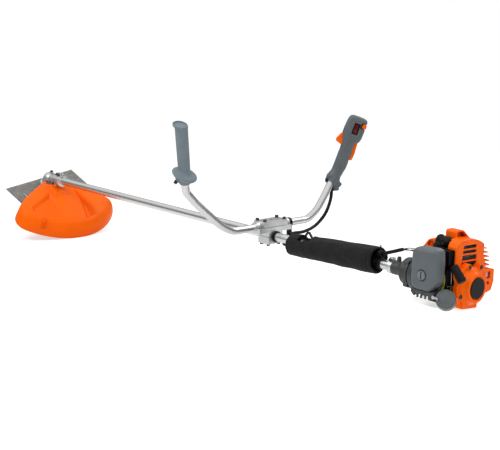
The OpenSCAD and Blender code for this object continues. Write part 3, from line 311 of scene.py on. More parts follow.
def superellipse(cx, cy, hx, hy, n, angle):
    """Point of a rounded rectangle; n = 2 is an ellipse and a larger n is squarer."""
    c, s = math.cos(angle), math.sin(angle)
    x = cx + hx * math.copysign(abs(c) ** (2 / n), c)
    y = cy + hy * math.copysign(abs(s) ** (2 / n), s)
    return x, y


def apply_modifiers(o):
    deps = bpy.context.evaluated_depsgraph_get()
    me = bpy.data.meshes.new_from_object(o.evaluated_get(deps))
    o.modifiers.clear()
    old = o.data
    o.data = me
    bpy.data.meshes.remove(old)


def box_verts(a, b):
    return [(x, y, z) for x in (a[0], b[0]) for y in (a[1], b[1]) for z in (a[2], b[2])]


BOX_FACES = [(0, 1, 3, 2), (4, 6, 7, 5), (0, 4, 5, 1), (2, 3, 7, 6), (0, 2, 6, 4), (1, 5, 7, 3)]


def sweep_tube(points, radius, sides=16, steps=6):
    """Round tube along a smooth curve through the points; radius may be a function of 0..1."""
    pts = [Vector(p) for p in points]
    line = []
    for i in range(len(pts) - 1):
        a, b, c, d = pts[max(i - 1, 0)], pts[i], pts[i + 1], pts[min(i + 2, len(pts) - 1)]
        for k in range(steps):
            t = k / steps
            square = (2 * a - 5 * b + 4 * c - d) * t * t
            cube = (3 * b - a - 3 * c + d) * t ** 3
            line.append(0.5 * (2 * b + (c - a) * t + square + cube))
    line.append(pts[-1])
    verts = []
    normal = None
    n = len(line)
    for i, p in enumerate(line):
        t = (line[min(i + 1, n - 1)] - line[max(i - 1, 0)]).normalized()
        if normal is None:
            normal = t.cross(Vector((0, 0, 1)) if abs(t.z) < 0.9 else Vector((1, 0, 0))).normalized()
        normal = (normal - t * normal.dot(t)).normalized()
        side = t.cross(normal)
        r = radius(i / (n - 1)) if callable(radius) else radius
        for a in ring_angles(sides):
            verts.append(p + r * (math.cos(a) * normal + math.sin(a) * side))
    return verts, barrel_faces(n, sides)


def soften(o, width):
    bv = o.modifiers.new("round", "BEVEL")
    bv.width = width * MM
    bv.segments = 2
    bv.limit_method = "ANGLE"
    bv.angle_limit = SHARP_EDGE
    bv.harden_normals = True
    return o


def signed_inside(poly, x, y):
    """Distance to the outline of poly, positive inside it."""
    best, inside = 1e9, False
    for (ax, ay), (bx, by) in zip(poly, poly[1:] + poly[:1]):
        dx, dy = bx - ax, by - ay
        t = max(0.0, min(1.0, ((x - ax) * dx + (y - ay) * dy) / (dx * dx + dy * dy)))
        best = min(best, math.hypot(x - ax - t * dx, y - ay - t * dy))
        if (ay > y) != (by > y) and x < (bx - ax) * (y - ay) / (by - ay) + ax:
            inside = not inside
    return best if inside else -best


# ---------- guard ----------
RIM = 252.0
RIM_LOW = -67.0
GUARD_TOP = [(46, 1.0), (70, 0.5), (120, -4.0), (205, -11.5), (218, -15.5), (228, -21), (236, -29.5),
             (243, -40), (248.5, -53), (RIM, RIM_LOW)]
LEFT_POCKET = [(74, -46), (122, -34), (208, -52), (190, -106), (152, -154), (124, -146)]
RIGHT_POCKET = [(70, 54), (122, 54), (196, 38), (222, 33), (204, 84), (150, 90), (84, 72)]


def guard_height(r, angle):
    x, y = r * math.cos(angle), r * math.sin(angle)
    z = lerp_table(GUARD_TOP, r)[0]
    z -= 11 * ease(-2, 15, signed_inside(LEFT_POCKET, x, y))
    z -= 17 * ease(-2, 14, signed_inside(RIGHT_POCKET, x, y))
    # Ridges along both sides of the middle panel
    plate = ease(6, 0, max(abs(y) - 25, x - 88))
    return z + (max(z, 3.5) - z) * plate


def rim_scale(angle):
    """The rim runs round a soft corner at the left end of the guard."""
    t = min(1.0, max(0.0, (-45 - math.degrees(angle)) / 16.5))
    return 1 - 0.37 * (1 - math.sqrt(1 - t * t))


def make_guard():
    first, last = math.radians(-61.5), math.radians(54)
    radii = [46 + 4 * i for i in range(39)]
    radii += [202 + 3 * i for i in range(9)]
    radii += [229 + 1.6 * i for i in range(9)]
    radii += [244.5, 246.2, 247.6, 248.8, 249.8, 250.6, 251.2, 251.7, 252]
    radii = sorted(set(round(r, 2) for r in radii))
    steps = 96

    def low(r):
        return lerp_table([(46, -9), (60, -20), (212, -34), (238, RIM_LOW + 4), (RIM, RIM_LOW)], r)[0]

    # Each end turns down to the edge of the skirt: how far down, and how far round
    turn_down = [(1.0, 0.004), (0.6, 0.0055), (0.3, 0.006), (0.12, 0.004)]
    columns = [(first - off + 0.004, w) for w, off in turn_down]
    columns += [(first + (last - first) * i / steps, 0.0) for i in range(steps + 1)]
    columns += [(last + off - 0.004, w) for w, off in turn_down[::-1]]
    verts = []
    for q in radii:
        for a, w in columns:
            r = q * rim_scale(a)
            z = guard_height(r, a)
            if q - r > 0.5:
                z = min(z, lerp_table(GUARD_TOP, q)[0])
            z += (min(z, low(q)) - z) * w
            verts.append((r * math.cos(a), r * math.sin(a), z))
    o = add("guard_shell", verts, grid_faces(len(radii), len(columns)), ORANGE, at=HEAD)
    s = o.modifiers.new("thickness", "SOLIDIFY")
    s.thickness = 3.0 * MM
    s.offset = -1.0
    s.use_even_offset = False
    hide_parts("guard")
    # Small stop on the skirt
    a = math.radians(-33)
    at = HEAD @ Matrix.Rotation(a, 4, "Z")
    v = [(222, -7, -15), (222, 8, -15), (244, 5, -17), (244, -5, -17), (236, -8, -36), (236, 8, -36),
         (250, 5, -40), (250, -5, -40)]
    f = [(0, 1, 2, 3), (4, 7, 6, 5), (0, 4, 5, 1), (3, 2, 6, 7), (0, 3, 7, 4), (1, 5, 6, 2)]
    soften(add("guard_stop", v, f, ORANGE, at=at), 1.2)
    # Rolled lip along the rim
    pts = []
    for i in range(97):
        b = first + (last - first) * (1 - (1 - i / 96) ** 1.6)
        r = (RIM - 1.2) * rim_scale(b)
        pts.append((r * math.cos(b), r * math.sin(b), RIM_LOW + 1.6))
    v, f = sweep_tube(pts, 1.6, 10, 2)
    add("guard_lip", v, f, ORANGE, at=HEAD)


make_guard()

# ---------- hip pad ----------
PAD = SHAFT @ Matrix.Translation((-352, 0, -10)) @ Matrix.Rotation(math.radians(90 - 3.2), 4, "Y")
PAD_LEN = 325.0
# Opening for the harness eye, along the pad
NOTCH = (40, 88)


def make_pad():
    around = 120
    ends = [0, 1.5, 4, 7, 9, 10, 11, 13, 16]
    notch = [38, NOTCH[0], NOTCH[1], 90]
    between = [first + 6 * i for first, count in ((20, 3), (46, 7), (96, 35)) for i in range(count)]
    stops = sorted(set(ends + [PAD_LEN - s for s in ends] + notch + between))
    verts = []
    for s in stops:
        for a in ring_angles(around):
            up, side = math.cos(a), math.sin(a)
            r = 30.2 + 5.6 * s / PAD_LEN
            p = Vector((s * 0.012, up * 1.1, side * 1.1))
            fold = noise.noise(p * 2.2) * 1.5 + noise.noise(Vector((s * 0.05, up * 2.0,
                                                                    side * 2.0))) * 0.55
            # Long soft folds that run along the sleeve, and cross folds near the notch
            fold += 0.7 * math.sin(3 * a + 0.012 * s) * ease(0, 40, s)
            fold += 0.9 * math.exp(-((s - 64) / 34) ** 2) * math.sin(s * 0.16 + 2 * a)
            # Hems: the cloth is pulled in by the seam, 10 mm from each end
            for hem in (10, PAD_LEN - 11):
                fold -= 1.3 * math.exp(-((s - hem) / 1.6) ** 2)
            edge = min(s, PAD_LEN - s)
            fold += 0.6 * ease(0, 5, edge) - 2.2 * (1 - ease(0, 4, edge))
            # The closing flap lies over the sleeve along the far side
            past_flap = math.degrees(a) - 62
            fold += 1.6 * ease(-1.5, 1.5, past_flap) * ease(70, 60, past_flap)
            x = -(r + fold) * up
            y = (r + fold) * side
            if up < -0.4:
                x += 1.2 * (-up - 0.4)
            verts.append((x, y, s))
    faces = []
    for i in range(len(stops) - 1):
        mid = (stops[i] + stops[i + 1]) / 2
        for j in range(around):
            k = (j + 1) % around
            a = 2 * math.pi * (j + 0.5) / around
            if NOTCH[0] < mid < NOTCH[1] and math.cos(a) > 0.62:
                continue
            faces.append((i * around + j, i * around + k, (i + 1) * around + k, (i + 1) * around + j))
    o = add("pad_sleeve", verts, faces, FABRIC, at=PAD, flip=True)
    bm = bmesh.new()
    bm.from_mesh(o.data)
    bmesh.ops.delete(bm, geom=[v for v in bm.verts if not v.link_faces], context="VERTS")
    bmesh.ops.recalc_face_normals(bm, faces=bm.faces)
    bm.to_mesh(o.data)
    bm.free()
    s = o.modifiers.new("thickness", "SOLIDIFY")
    s.thickness = 4.0 * MM
    s.offset = -1.0
    sub = o.modifiers.new("smooth", "SUBSURF")
    sub.levels = sub.render_levels = 1
    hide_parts("hip_pad")


make_pad()


# ---------- moulded covers ----------
def prism(outline, lo, hi, axis="x"):
    """Closed prism: the outline lies across the axis and runs from lo to hi along it."""
    n = len(outline)
    place = {"x": lambda a, b, c: (c, a, b),
             "y": lambda a, b, c: (a, c, b),
             "z": lambda a, b, c: (a, b, c)}[axis]
    verts = [place(a, b, lo) for a, b in outline] + [place(a, b, hi) for a, b in outline]
    faces = [tuple(range(n)), tuple(range(2 * n - 1, n - 1, -1))]
    faces += [(i, n + i, n + (i + 1) % n, (i + 1) % n) for i in range(n)]
    return verts, faces


def turned(profile, centre=(0, 0), sides=64):
    """Solid of revolution about a line along X; profile holds (x, radius)."""
    verts = []
    for x, r in profile:
        for a in ring_angles(sides):
            verts.append((x, centre[0] + r * math.cos(a), centre[1] + r * math.sin(a)))
    return verts, barrel_faces(len(profile), sides)


def ball(centre, r):
    bm = bmesh.new()
    bmesh.ops.create_uvsphere(bm, u_segments=24, v_segments=16, radius=r)
    verts = [(v.co.x + centre[0], v.co.y + centre[1], v.co.z + centre[2]) for v in bm.verts]
    faces = [tuple(v.index for v in f.verts) for f in bm.faces]
    bm.free()
    return verts, faces


def box(a, b):
    return box_verts(a, b), BOX_FACES


def boxes(corners):
    """Several boxes in one mesh."""
    verts = []
    faces = []
    for a, b in corners:
        faces += [tuple(len(verts) + i for i in f) for f in BOX_FACES]
        verts += box_verts(a, b)
    return verts, faces


def loose(part):
    me = bpy.data.meshes.new("tool")
    me.from_pydata([tuple(v) for v in part[0]], [], part[1])
    bm = bmesh.new()
    bm.from_mesh(me)
    bmesh.ops.recalc_face_normals(bm, faces=bm.faces)
    bm.to_mesh(me)
    bm.free()
    o = bpy.data.objects.new("tool", me)
    scene.collection.objects.link(o)
    return o


def moulded(name, adds, cuts, mat, body="frame", at=SHAFT, voxel=1.2, smooth=4, after=(),
            keep=None):
    """Joins the closed forms in adds, takes away cuts, and rounds everything by a fine remesh."""
    base = loose(adds[0])

    def combine(parts, how):
        for p in parts:
            t = loose(p)
            mod = base.modifiers.new("join", "BOOLEAN")
            mod.operation = how
            mod.solver = "EXACT"
            mod.object = t
            apply_modifiers(base)
            me = t.data
            bpy.data.objects.remove(t)
            bpy.data.meshes.remove(me)

    combine(adds[1:], "UNION")
    if keep:
        combine([keep], "INTERSECT")
    combine(cuts, "DIFFERENCE")
    combine(after, "UNION")
    rm = base.modifiers.new("remesh", "REMESH")
    rm.mode = "VOXEL"
    rm.voxel_size = voxel
    rm.use_smooth_shade = True
    sm = base.modifiers.new("smooth", "SMOOTH")
    sm.factor = 0.5
    sm.iterations = smooth
    apply_modifiers(base)
    me = base.data
    me.transform(at)
    me.materials.clear()
    me.materials.append(mat)
    for p in me.polygons:
        p.use_smooth = True
    bpy.data.objects.remove(base)
    me.name = name
    o = bpy.data.objects.new(name, me)
    scene.collection.objects.link(o)
    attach(o, body)
    return o


# Outline of the starter housing's plate in (y, z), and its screws
PLATE = [(-37, -50), (24, -54), (25, -40), (16, -20), (20, 30), (34, 34), (39, 42), (37, 50), (30, 53),
         (22, 48), (10, 45), (0, 48), (-7, 57), (-16, 60.5), (-24, 57), (-30, 48), (-40, 44), (-50, 45),
         (-56, 38), (-55, 28), (-50, 16), (-54, 2), (-53, -20), (-48, -28), (-42, -34)]
STARTER_SCREWS = [(-46, 37), (-46, -17), (-16, 52), (30, 46)]
CAP_CENTRE = Vector((262, -82, -22))
CAP_AXIS = Vector((0.45, -0.75, 0.48)).normalized()
CAP_ROOM = 25.4


def make_starter():
    profile = [(258, 50), (268, 49.6), (274, 48), (279, 44), (283, 40), (287, 38), (291, 36.6), (292, 35),
               (292, 0.5)]
    bowl = turned(profile)
    plate = prism(PLATE, 258, 271)
    seats = [turned([(258, 8.2), (276, 7.8), (277.5, 7)], c, 32) for c in STARTER_SCREWS]
    foot = prism([(-36, -50), (22, -55), (22, -30), (-34, -30)], 256, 277)
    cuts = [turned([(230, 47), (266, 46.5), (274, 45), (274, 0.5)]), turned([(289.4, 29.5), (300, 29.5)])]
    cuts += [turned([(272.8, 5.6), (300, 5.6)], c, 24) for c in STARTER_SCREWS]
    cuts.append(cap_room(-13, 14))
    o = moulded("starter_shell", [bowl, plate, foot] + seats, cuts, COVER_ORANGE,
                voxel=1.1, smooth=3)
    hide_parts("starter_housing")


def cap_room(low, high):
    """Clear space round the fuel cap, from low to high along its axis."""
    return sweep_tube([CAP_CENTRE + low * CAP_AXIS, CAP_CENTRE + high * CAP_AXIS], CAP_ROOM, 40, 1)


def make_hood():
    outline = [(-45, 22), (-45, 99), (-40, 108), (-27, 115.5), (2, 115), (30, 112), (44, 107), (60, 98.5),
               (72, 88), (84, 73), (92, 56), (99, 38), (105, 22)]
    inner = [(-42, 10), (-42, 97), (-37, 105), (-26, 112), (2, 112), (29, 109), (42, 104), (58, 96),
             (69.5, 86), (81, 71), (88.6, 55), (95.6, 37), (101.6, 10)]
    plan = [(150, -50), (251, -50), (256.6, -46), (258.6, -40), (258.6, 76), (256.4, 88), (250, 100),
            (240, 107), (224, 110), (150, 110)]
    body = prism(outline, 164, 259)
    hump = prism([(-12, 96), (-12, 128), (-9, 132), (13, 132), (19, 129), (44, 108), (44, 96)], 194, 228)
    hump_inner = [(-9, 90), (-9, 126), (-7, 129), (12, 129), (17, 126.6), (40, 107), (41, 90)]
    cuts = [prism(inner, 150, 255), prism(hump_inner, 190, 219)]
    # Open side at the carburettor, and the room for the plug cap
    cuts.append(box((140, -70, 0), (251, -27, 92)))
    cuts.append(box((140, -70, 60), (229, -13.5, 113)))
    cuts.append(box((140, -70, 112), (226, -12.5, 150)))
    cuts.append(box((140, -70, 20), (211, -15, 112)))
    cuts.append(box((140, -70, 96), (193, 60, 150)))
    # Room for the starter pawls
    cuts.append(turned([(247, 29), (264, 29)]))
    # Windows over the cylinder fins
    cuts += [prism([(-19, 102), (30, 100), (30.6, 92), (-21, 94)], 245, 270),
             prism([(-21, 90), (31, 87.6), (31.4, 80), (-22, 82)], 245, 270),
             prism([(-23, 77.4), (32, 75), (32.6, 63), (-24.6, 65.4)], 245, 270),
             prism([(-25, 61), (33, 58.6), (34, 46), (-4, 46), (-26, 46)], 245, 270)]
    # Slots that run round the far corner
    for k in range(6):
        z = 36 + 11.2 * k
        y = 55 + 0.31 * (92 - z)
        slot = [(y, z + 3.8), (y, z - 2.6), (y + 16, z - 6), (130, z - 12), (130, z - 4.6)]
        cuts.append(prism(slot, 228, 275))
    # Pocket in the rear face of the hump, with its floor set back
    pocket = [(-7, 117), (-7, 128.6), (12, 128.6), (16.5, 126.4), (31, 114.6), (28, 113.4)]
    cuts.append(prism(pocket, 212, 262))
    floor_plate = prism([(-10, 112), (-10, 130), (14, 130), (36, 112)], 209, 212)
    keep = prism(plan, 0, 160, "z")
    o = moulded("engine_hood", [body, hump], cuts, COVER_ORANGE, voxel=1.1, smooth=3,
                after=[floor_plate], keep=keep)
    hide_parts("engine_cover")
    # Heat shield with the outlet of the silencer
    shield = prism([(82, 26), (118, 24), (119, -8), (110, -30), (92, -34), (50, -34), (50, 26)], 216, 252)
    cuts = [prism([(50, 22), (114, 20), (115, -7), (107, -26), (92, -30), (50, -30)], 200, 249),
            prism([(86, 21), (103, 19), (104, 2), (87, 4)], 246, 260),
            prism([(87, -5), (101, -7), (101, -13), (88, -11)], 246, 260)]
    moulded("exhaust_shield", [shield], cuts, COVER_ORANGE, voxel=1.1, smooth=3)
    v, f = sweep_tube([(232, 95, 11), (247, 95, 11)], lambda t: 6.5, 28, 2)
    soften(add("exhaust_outlet", v, f, STEEL), 0.5)


def make_fan_shroud():
    shell = [(100.5, 36), (103, 42), (108, 45), (116, 46.6), (160, 46.6), (163.5, 45), (163.5, 42.6),
             (105, 42.6), (103, 36)]
    ring = turned(shell, sides=72)
    rim = turned([(118, 42.7), (118, 48), (123, 48), (123, 42.7)], sides=72)
    cuts = [turned([(90, 24), (110, 24)])]
    o = moulded("fan_shroud", [ring, rim], cuts, DARK_BASE, voxel=1.3, smooth=3)
    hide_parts("fan_cover")
    # Orange air duct from the fan to the cylinder
    outer = [(126, 50), (130, 74), (144, 92), (150, 99.5), (157, 103), (170, 103.5), (172, 98), (172, 50)]
    inner = [(120, 40), (133, 72), (147, 90), (152, 96), (158, 99.6), (190, 100), (190, 40)]
    mouth = [(148, 84), (151, 94), (157, 98), (165, 98.4), (166, 84)]
    back = [(130, 60), (146, 90), (152, 97), (158, 100.6), (168, 100.6), (168, 60)]
    cuts = [prism(inner, -19, 27, "y"), prism(mouth, -30, -17, "y")]
    moulded("air_duct", [prism(outer, -22, 30, "y")], cuts, COVER_ORANGE, voxel=1.2,
            smooth=3, after=[prism(back, -15.6, -13.6, "y")])


def make_fins():
    fins = [((228, -26.6, 38 + 4.6 * k), (250.5, 44, 38 + 4.6 * k + 1.5)) for k in range(15)]
    core = ((222, -26, 36), (236, 43, 106))
    verts, faces = boxes(fins + [core])
    soften(add("rear_fins", verts, faces, FINS), 0.4)


def make_cylinder():
    fins = [((170, -33, 36 + 5.2 * k), (234, 36, 38 + 5.2 * k)) for k in range(12)]
    core = ((178, -26, 34), (226, 28, 97))
    verts, faces = boxes(fins + [core])
    # The cylinder's fins take the near-black copy of the fin colour: painted shade.
    o = soften(add("cylinder_fins", verts, faces, SHADE_DARK_FINS), 0.5)
    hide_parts("cylinder_barrel")


def make_filter_base():
    outline = [(176, -12), (176, 94), (184, 98), (240, 98), (246, 92), (246, 30), (238, 0), (230, -12)]
    plate = prism(outline, -82, -73, "y")
    tray = prism([(170, -6), (170, -16), (182, -27), (232, -27), (240, -16), (240, -6)], -104, -74, "y")
    notches = [box((x, -120, -40), (x + 7, -92, -15.5)) for x in (181, 193, 205, 217)]
    notches.append(box((180, -100, -40), (232, -80, -20)))
    o = moulded("filter_tray", [plate, tray], notches + [cap_room(-20, 8)], DARK_BASE,
                voxel=1.3, smooth=2)
    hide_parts("air_filter_base")


def make_fuel_cap():
    side = CAP_AXIS.cross(Vector((0, 0, 1))).normalized()
    up = side.cross(CAP_AXIS)
    ribs = 24
    verts = []
    rows = [(-12, 21), (-12, 24.2), (9, 24.6), (11.6, 24.0), (13, 22.4), (13.4, 20), (13.0, 18.6),
            (14.6, 12), (15.2, 0.4)]
    for h, r in rows:
        for a in ring_angles(4 * ribs):
            q = r - (0.5 * max(0.0, math.cos(ribs * a)) if -11 < h < 10 else 0.0)
            verts.append(CAP_CENTRE + h * CAP_AXIS + q * (math.cos(a) * side + math.sin(a) * up))
    faces = barrel_faces(len(rows), 4 * ribs)
    o = add("tank_cap", verts, faces, CAP_GREY, body=nodes["fuel_cap"]["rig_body"])
    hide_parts("fuel_cap")


def make_plug():
    lead = sweep_tube([(196, -25, 104), (184, -26, 95), (173, -24, 85), (165, -19, 75), (150, -12, 64)],
                      lambda t: 7.4 - 2.6 * ease(0.25, 0.6, t), 20, 5)
    ring = turned([(182, 10.5), (198, 12.4), (217, 13.6), (223, 12.6), (225, 9)], (-25, 103.5), 40)
    boot = sweep_tube([(212, -22, 104), (206, -10, 99), (202, -2, 90)], 9.5, 24, 3)
    o = moulded("plug_boot", [ball((213, -25, 104), 15.0), ball((191, -24, 108), 12.4), ring, boot, lead],
                [turned([(223.4, 4.2), (234, 4.2)], (-25, 103.5), 20)], RUBBER, voxel=0.9,
                smooth=3)
    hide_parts("plug_cap", "spark_plug")


def filter_ring(t, inset):
    """Rounded outline of the air filter cover in (x, z)."""
    x0, x1 = 170 + inset, 252 - inset
    z0, z1 = -7 + inset, 98.5 - inset
    x, z = superellipse((x0 + x1) / 2, (z0 + z1) / 2, (x1 - x0) / 2, (z1 - z0) / 2, 5.6, t)
    # The lower rear corner is cut back, and the top rises a little towards the rear
    z += max(0.0, (x - 226) / 26) * max(0.0, (34 - z) / 40) * 22
    z += 5 * max(0.0, (x - 180) / 72) * max(0.0, (z - 40) / 60)
    return x, z


def make_filter_cover():
    count = 96
    layers = [(-79, 1.0), (-82, 0.2), (-92, 0.0), (-100, 0.5), (-105, 1.5), (-108.5, 3.2), (-111, 5.8),
              (-112.6, 9), (-113.6, 13), (-114.2, 18), (-114.5, 25), (-114.6, 35)]
    verts = []
    for y, inset in layers:
        for a in ring_angles(count):
            x, z = filter_ring(a, inset)
            # The face turns away a little at its rear end
            verts.append((x, y + 2.6 * ease(222, 252, x) * ease(-90, -112, y), z))
    shell = (verts, barrel_faces(len(layers), count))
    wall = 7
    inner = [filter_ring(a, wall) for a in ring_angles(count)]
    hollow = ([(x, y, z) for y in (-76, -104) for x, z in inner], barrel_faces(2, count))
    dish = sweep_tube([(209, -112.2, 33), (209, -122, 33)], 14.5, 40, 1)
    knob = sweep_tube([(209, -109, 33), (209, -122, 33)], 12.4, 40, 1)
    o = moulded("filter_cover", [shell], [hollow, dish, knob, cap_room(-20, 8)], GREY,
                voxel=1.2, smooth=3)
    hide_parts("air_filter_cover")


def make_intake():
    """Black intake and linkage block between the air filter and the cylinder."""
    block = box((206, -66, -4), (231, -42, 88))
    step = box((222, -60, -10), (244, -41, 44))
    upper = box((222, -58, 44), (246, -41, 92))
    cuts = [box((200, -70, 60), (222, -52, 95)), sweep_tube([(225, -53, 48), (250, -53, 48)], 8.5, 32, 1)]
    moulded("intake_block", [block, step, upper], cuts, BLACK, voxel=1.3, smooth=3)
    v, f = sweep_tube([(248, -49, 38), (248, -48, 20), (248, -47, -4)], 1.1, 12, 4)
    add("throttle_rod", v, f, STEEL)
    v, f = sweep_tube([(247, -60, 5), (247, -46, 3), (247, -33, 0)], 1.2, 12, 4)
    add("throttle_link", v, f, STEEL)


def make_starter_grip():
    a, b = Vector((273, -72, 62)), Vector((300, -74, 30.5))
    d = (b - a).normalized()
    spine = [a - 2 * d, a, a + 0.25 * (b - a), a + 0.5 * (b - a), a + 0.8 * (b - a), b, b + 2 * d]

    def thickness(t):
        return 11.5 * math.sqrt(max(0.04, 1 - (2 * t - 1) ** 8)) - 2.2 * (1 - t)

    grip = sweep_tube(spine, thickness, 32, 4)
    stem = sweep_tube([(288, -74, 44), (283, -62, 40), (280, -48, 35)], lambda t: 7.5 - 2 * t, 24, 3)
    cord = sweep_tube([(284, -50, 35.4), (268, -5, 18)], 1.8, 12, 1)
    o = moulded("pull_grip", [grip, stem, cord], [], RUBBER, body="pull_handle",
                voxel=0.9, smooth=3)
    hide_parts("starter_grip")


make_starter()
make_hood()
make_fan_shroud()
make_fins()
make_cylinder()
make_filter_base()
make_fuel_cap()
make_plug()
make_filter_cover()
make_intake()
make_starter_grip()

# ---------- throttle handle ----------
# Rows of height, middle, half width, half depth and squareness
HANDLE = [(-7, -5, 16, 15, 2.2), (-5, -5, 20.0, 20, 2.2), (4, -5, 21.0, 21, 2.2),
          (14, -5, 20.4, 20.4, 2.2), (22, -4.6, 18, 18, 2.1), (34, -2.6, 18.6, 16.8, 2.0),
          (50, -0.8, 20.0, 16.4, 2.1), (100, -0.6, 20.4, 16, 2.2), (122, -2.6, 20.8, 15.8, 2.2),
          (127, -4, 21.0, 16.0, 2.4), (132, -1, 25.5, 16.4, 2.8), (139, 0, 28.6, 16.8, 3.2),
          (148, 0.3, 30.2, 17, 3.6), (166, 0.2, 30.6, 17, 3.8), (188, 1, 30, 16.8, 3.8),
          (198, 1.6, 29, 16, 3.6), (204, 1.8, 27, 14, 3.4), (207.5, 1.6, 23, 11, 3.0),
          (209.4, 1.4, 17, 7, 2.6), (210, 1.4, 1, 0.5, 2)]


def handle_mass():
    count = 72
    heights = sorted(set([row[0] for row in HANDLE] + [-6 + 3.0 * i for i in range(72)]))
    verts = []
    for z in heights:
        cx, hx, hy, n = lerp_table(HANDLE, z)
        for a in ring_angles(count):
            x, y = superellipse(cx, 0, hx, hy, n, a)
            # The foot is cut off at a slant
            verts.append((x, y, z - 0.36 * (x + 5) * (1 - ease(14, 40, z))))
    return verts, barrel_faces(len(heights), count)


def make_handle():
    collar = sweep_tube([(2, -5, -4), (7, -7, -14), (12, -9, -25)], lambda t: 13.5 - 2.5 * t, 32, 5)
    sleeve = sweep_tube([(-13.1, -17.5, -8), (-8.5, -12, 2), (-4.8, -5, 13), (-2.8, -1, 25)], 14.2, 32, 4)
    left_ear = sweep_tube([(-14, -14, 10), (-30, -15, 10)], 8.8, 28, 2)
    left_ear_2 = sweep_tube([(-14, -14, 0), (-29.5, -15, -2)], 8.4, 28, 2)
    right_ear = sweep_tube([(8, -8, 0), (22, -10, -5)], lambda t: 10 - 3.5 * t, 28, 3)
    oval = [(13.5 * math.cos(a) * (1 - 0.35 * abs(math.sin(a))) + 3, 166 + 36 * math.sin(a))
            for a in ring_angles(40)]
    shallow_oval = prism(oval, -20, -15.6, "y")
    trigger_slot = box((-60, -6, 97), (3.5, 6, 163))
    lever_slot = box((4, -6.7, 70), (60, 6.7, 136))
    rocker_pocket = box((-7, -40, 155), (11.5, -1.5, 189))
    button_pocket = box((13, -40, 177), (60, 4, 194.5))
    left_seam = box((-80, -0.5, 10), (-19.6, 0.5, 240))
    right_seam = box((12.0, -0.5, 10), (80, 0.5, 240))
    screw_hole = sweep_tube([(-27, -21, -1), (-27, -40, -1)], 5.2, 24, 1)
    cuts = [shallow_oval, trigger_slot, lever_slot, rocker_pocket, button_pocket, left_seam, right_seam,
            screw_hole]
    o = moulded("throttle_handle", [handle_mass(), collar, sleeve, left_ear, left_ear_2, right_ear], cuts,
                GREY, at=GRIP, voxel=1.1, smooth=3)
    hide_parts("handle_shell_inner", "handle_shell_outer")
    v, f = sweep_tube([(-27, -17, -1), (-27, -22.4, -1)], 4.6, 24, 2)
    soften(add("handle_clamp_screw", v, f, SCREW, at=GRIP), 0.4)
    profile = [(-14, 146), (-30, 147), (-33, 145), (-41, 127.5), (-41.6, 122), (-39, 118.5), (-25, 113.5),
               (-14, 113)]
    o = moulded("trigger_blade", [prism(profile, -4.8, 4.8, "y")], [], ORANGE,
                body=nodes["throttle_trigger"]["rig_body"], at=GRIP, voxel=0.7, smooth=3)
    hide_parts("throttle_trigger")
    button = box((17.6, -17.6, 180.5), (29.6, -4, 192.5))
    o = moulded("start_button", [button], [], ORANGE,
                body=nodes["start_lock_button"]["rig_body"], at=GRIP, voxel=0.6, smooth=3)
    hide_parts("start_lock_button")
    profile = [(-16.4, 158.6), (-13.8, 171), (-15.2, 185.4), (-9.5, 185.4), (-9.5, 158.6)]
    o = moulded("rocker_key", [prism(profile, -4.0, 8.5)], [], SWITCH_RED,
                body=nodes["stop_switch"]["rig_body"], at=GRIP, voxel=0.6, smooth=3)
    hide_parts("stop_switch")
    # Frame of the rocker switch
    outer = [(-7.4, 155), (11.9, 155), (11.9, 189), (-7.4, 189)]
    inner = [(-5.2, 157.4), (9.7, 157.4), (9.7, 186.6), (-5.2, 186.6)]
    layers = [(outer, -15.2), (inner, -15.6), (inner, -11.0), (outer, -12.0)]
    v = [(x, y, z) for ring, y in layers for x, z in ring]
    f = []
    for k in range(4):
        m = (k + 1) % 4
        f += [(k, m, 4 + m, 4 + k), (4 + k, 4 + m, 8 + m, 8 + k), (k, 12 + k, 12 + m, m)]
    soften(add("rocker_frame", v, f, BLACK, at=GRIP, flip=True), 0.5)


make_handle()


# ---------- left grip ----------
def make_left_grip():
    tilt = 0.38
    spine = [(0, 0, 66), (0, 0, 100), (0, 0, 150), (0, 0, 224)]
    shaft = sweep_tube(spine, lambda t: 16.2 + 1.2 * t, 48, 4)
    neck = sweep_tube([(0, 0, 56), (0, 0, 70)], lambda t: 15.5 + 3 * t, 48, 3)
    rows = [(-11, 15), (-10, 20), (-7, 26.5), (-3, 30.8), (1, 33.2), (4, 32.8), (6.5, 30), (8.5, 26),
            (11, 21), (16, 17.6)]
    sides = 64
    dish = [(r * math.cos(a), r * math.sin(a), 80 + h + tilt * r * math.sin(a)) for h, r in rows
            for a in ring_angles(sides)]
    flange = (dish, barrel_faces(len(rows), sides))
    rows = [(222, 16.8), (226, 19.2), (229, 20.4), (232, 20.4), (234.2, 19.4), (234.4, 18), (229.6, 16.6),
            (229.4, 0.3)]
    knob = []
    for h, r in rows:
        shift = 2.4 * min(1, (h - 222) / 6)
        knob += [(r * math.cos(a), shift + r * math.sin(a), h - 3 + 0.22 * r * math.sin(a))
                 for a in ring_angles(sides)]
    cap = (knob, barrel_faces(len(rows), sides))
    boss = sweep_tube([(4, 14, 70), (8, 22, 67)], 8.0, 28, 2)
    bore = sweep_tube([(0, 0, 30), (0, 0, 72)], 11.6, 32, 1)
    o = moulded("grip_left", [shaft, neck, flange, cap, boss], [bore], GRIP_GREY,
                at=LEFT_GRIP, voxel=1.2, smooth=4)
    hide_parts("left_grip")
    v, f = sweep_tube([(9, 21, 67), (16, 24, 63)], 5.0, 24, 2)
    soften(add("grip_screw", v, f, SCREW, at=LEFT_GRIP), 0.6)


make_left_grip()


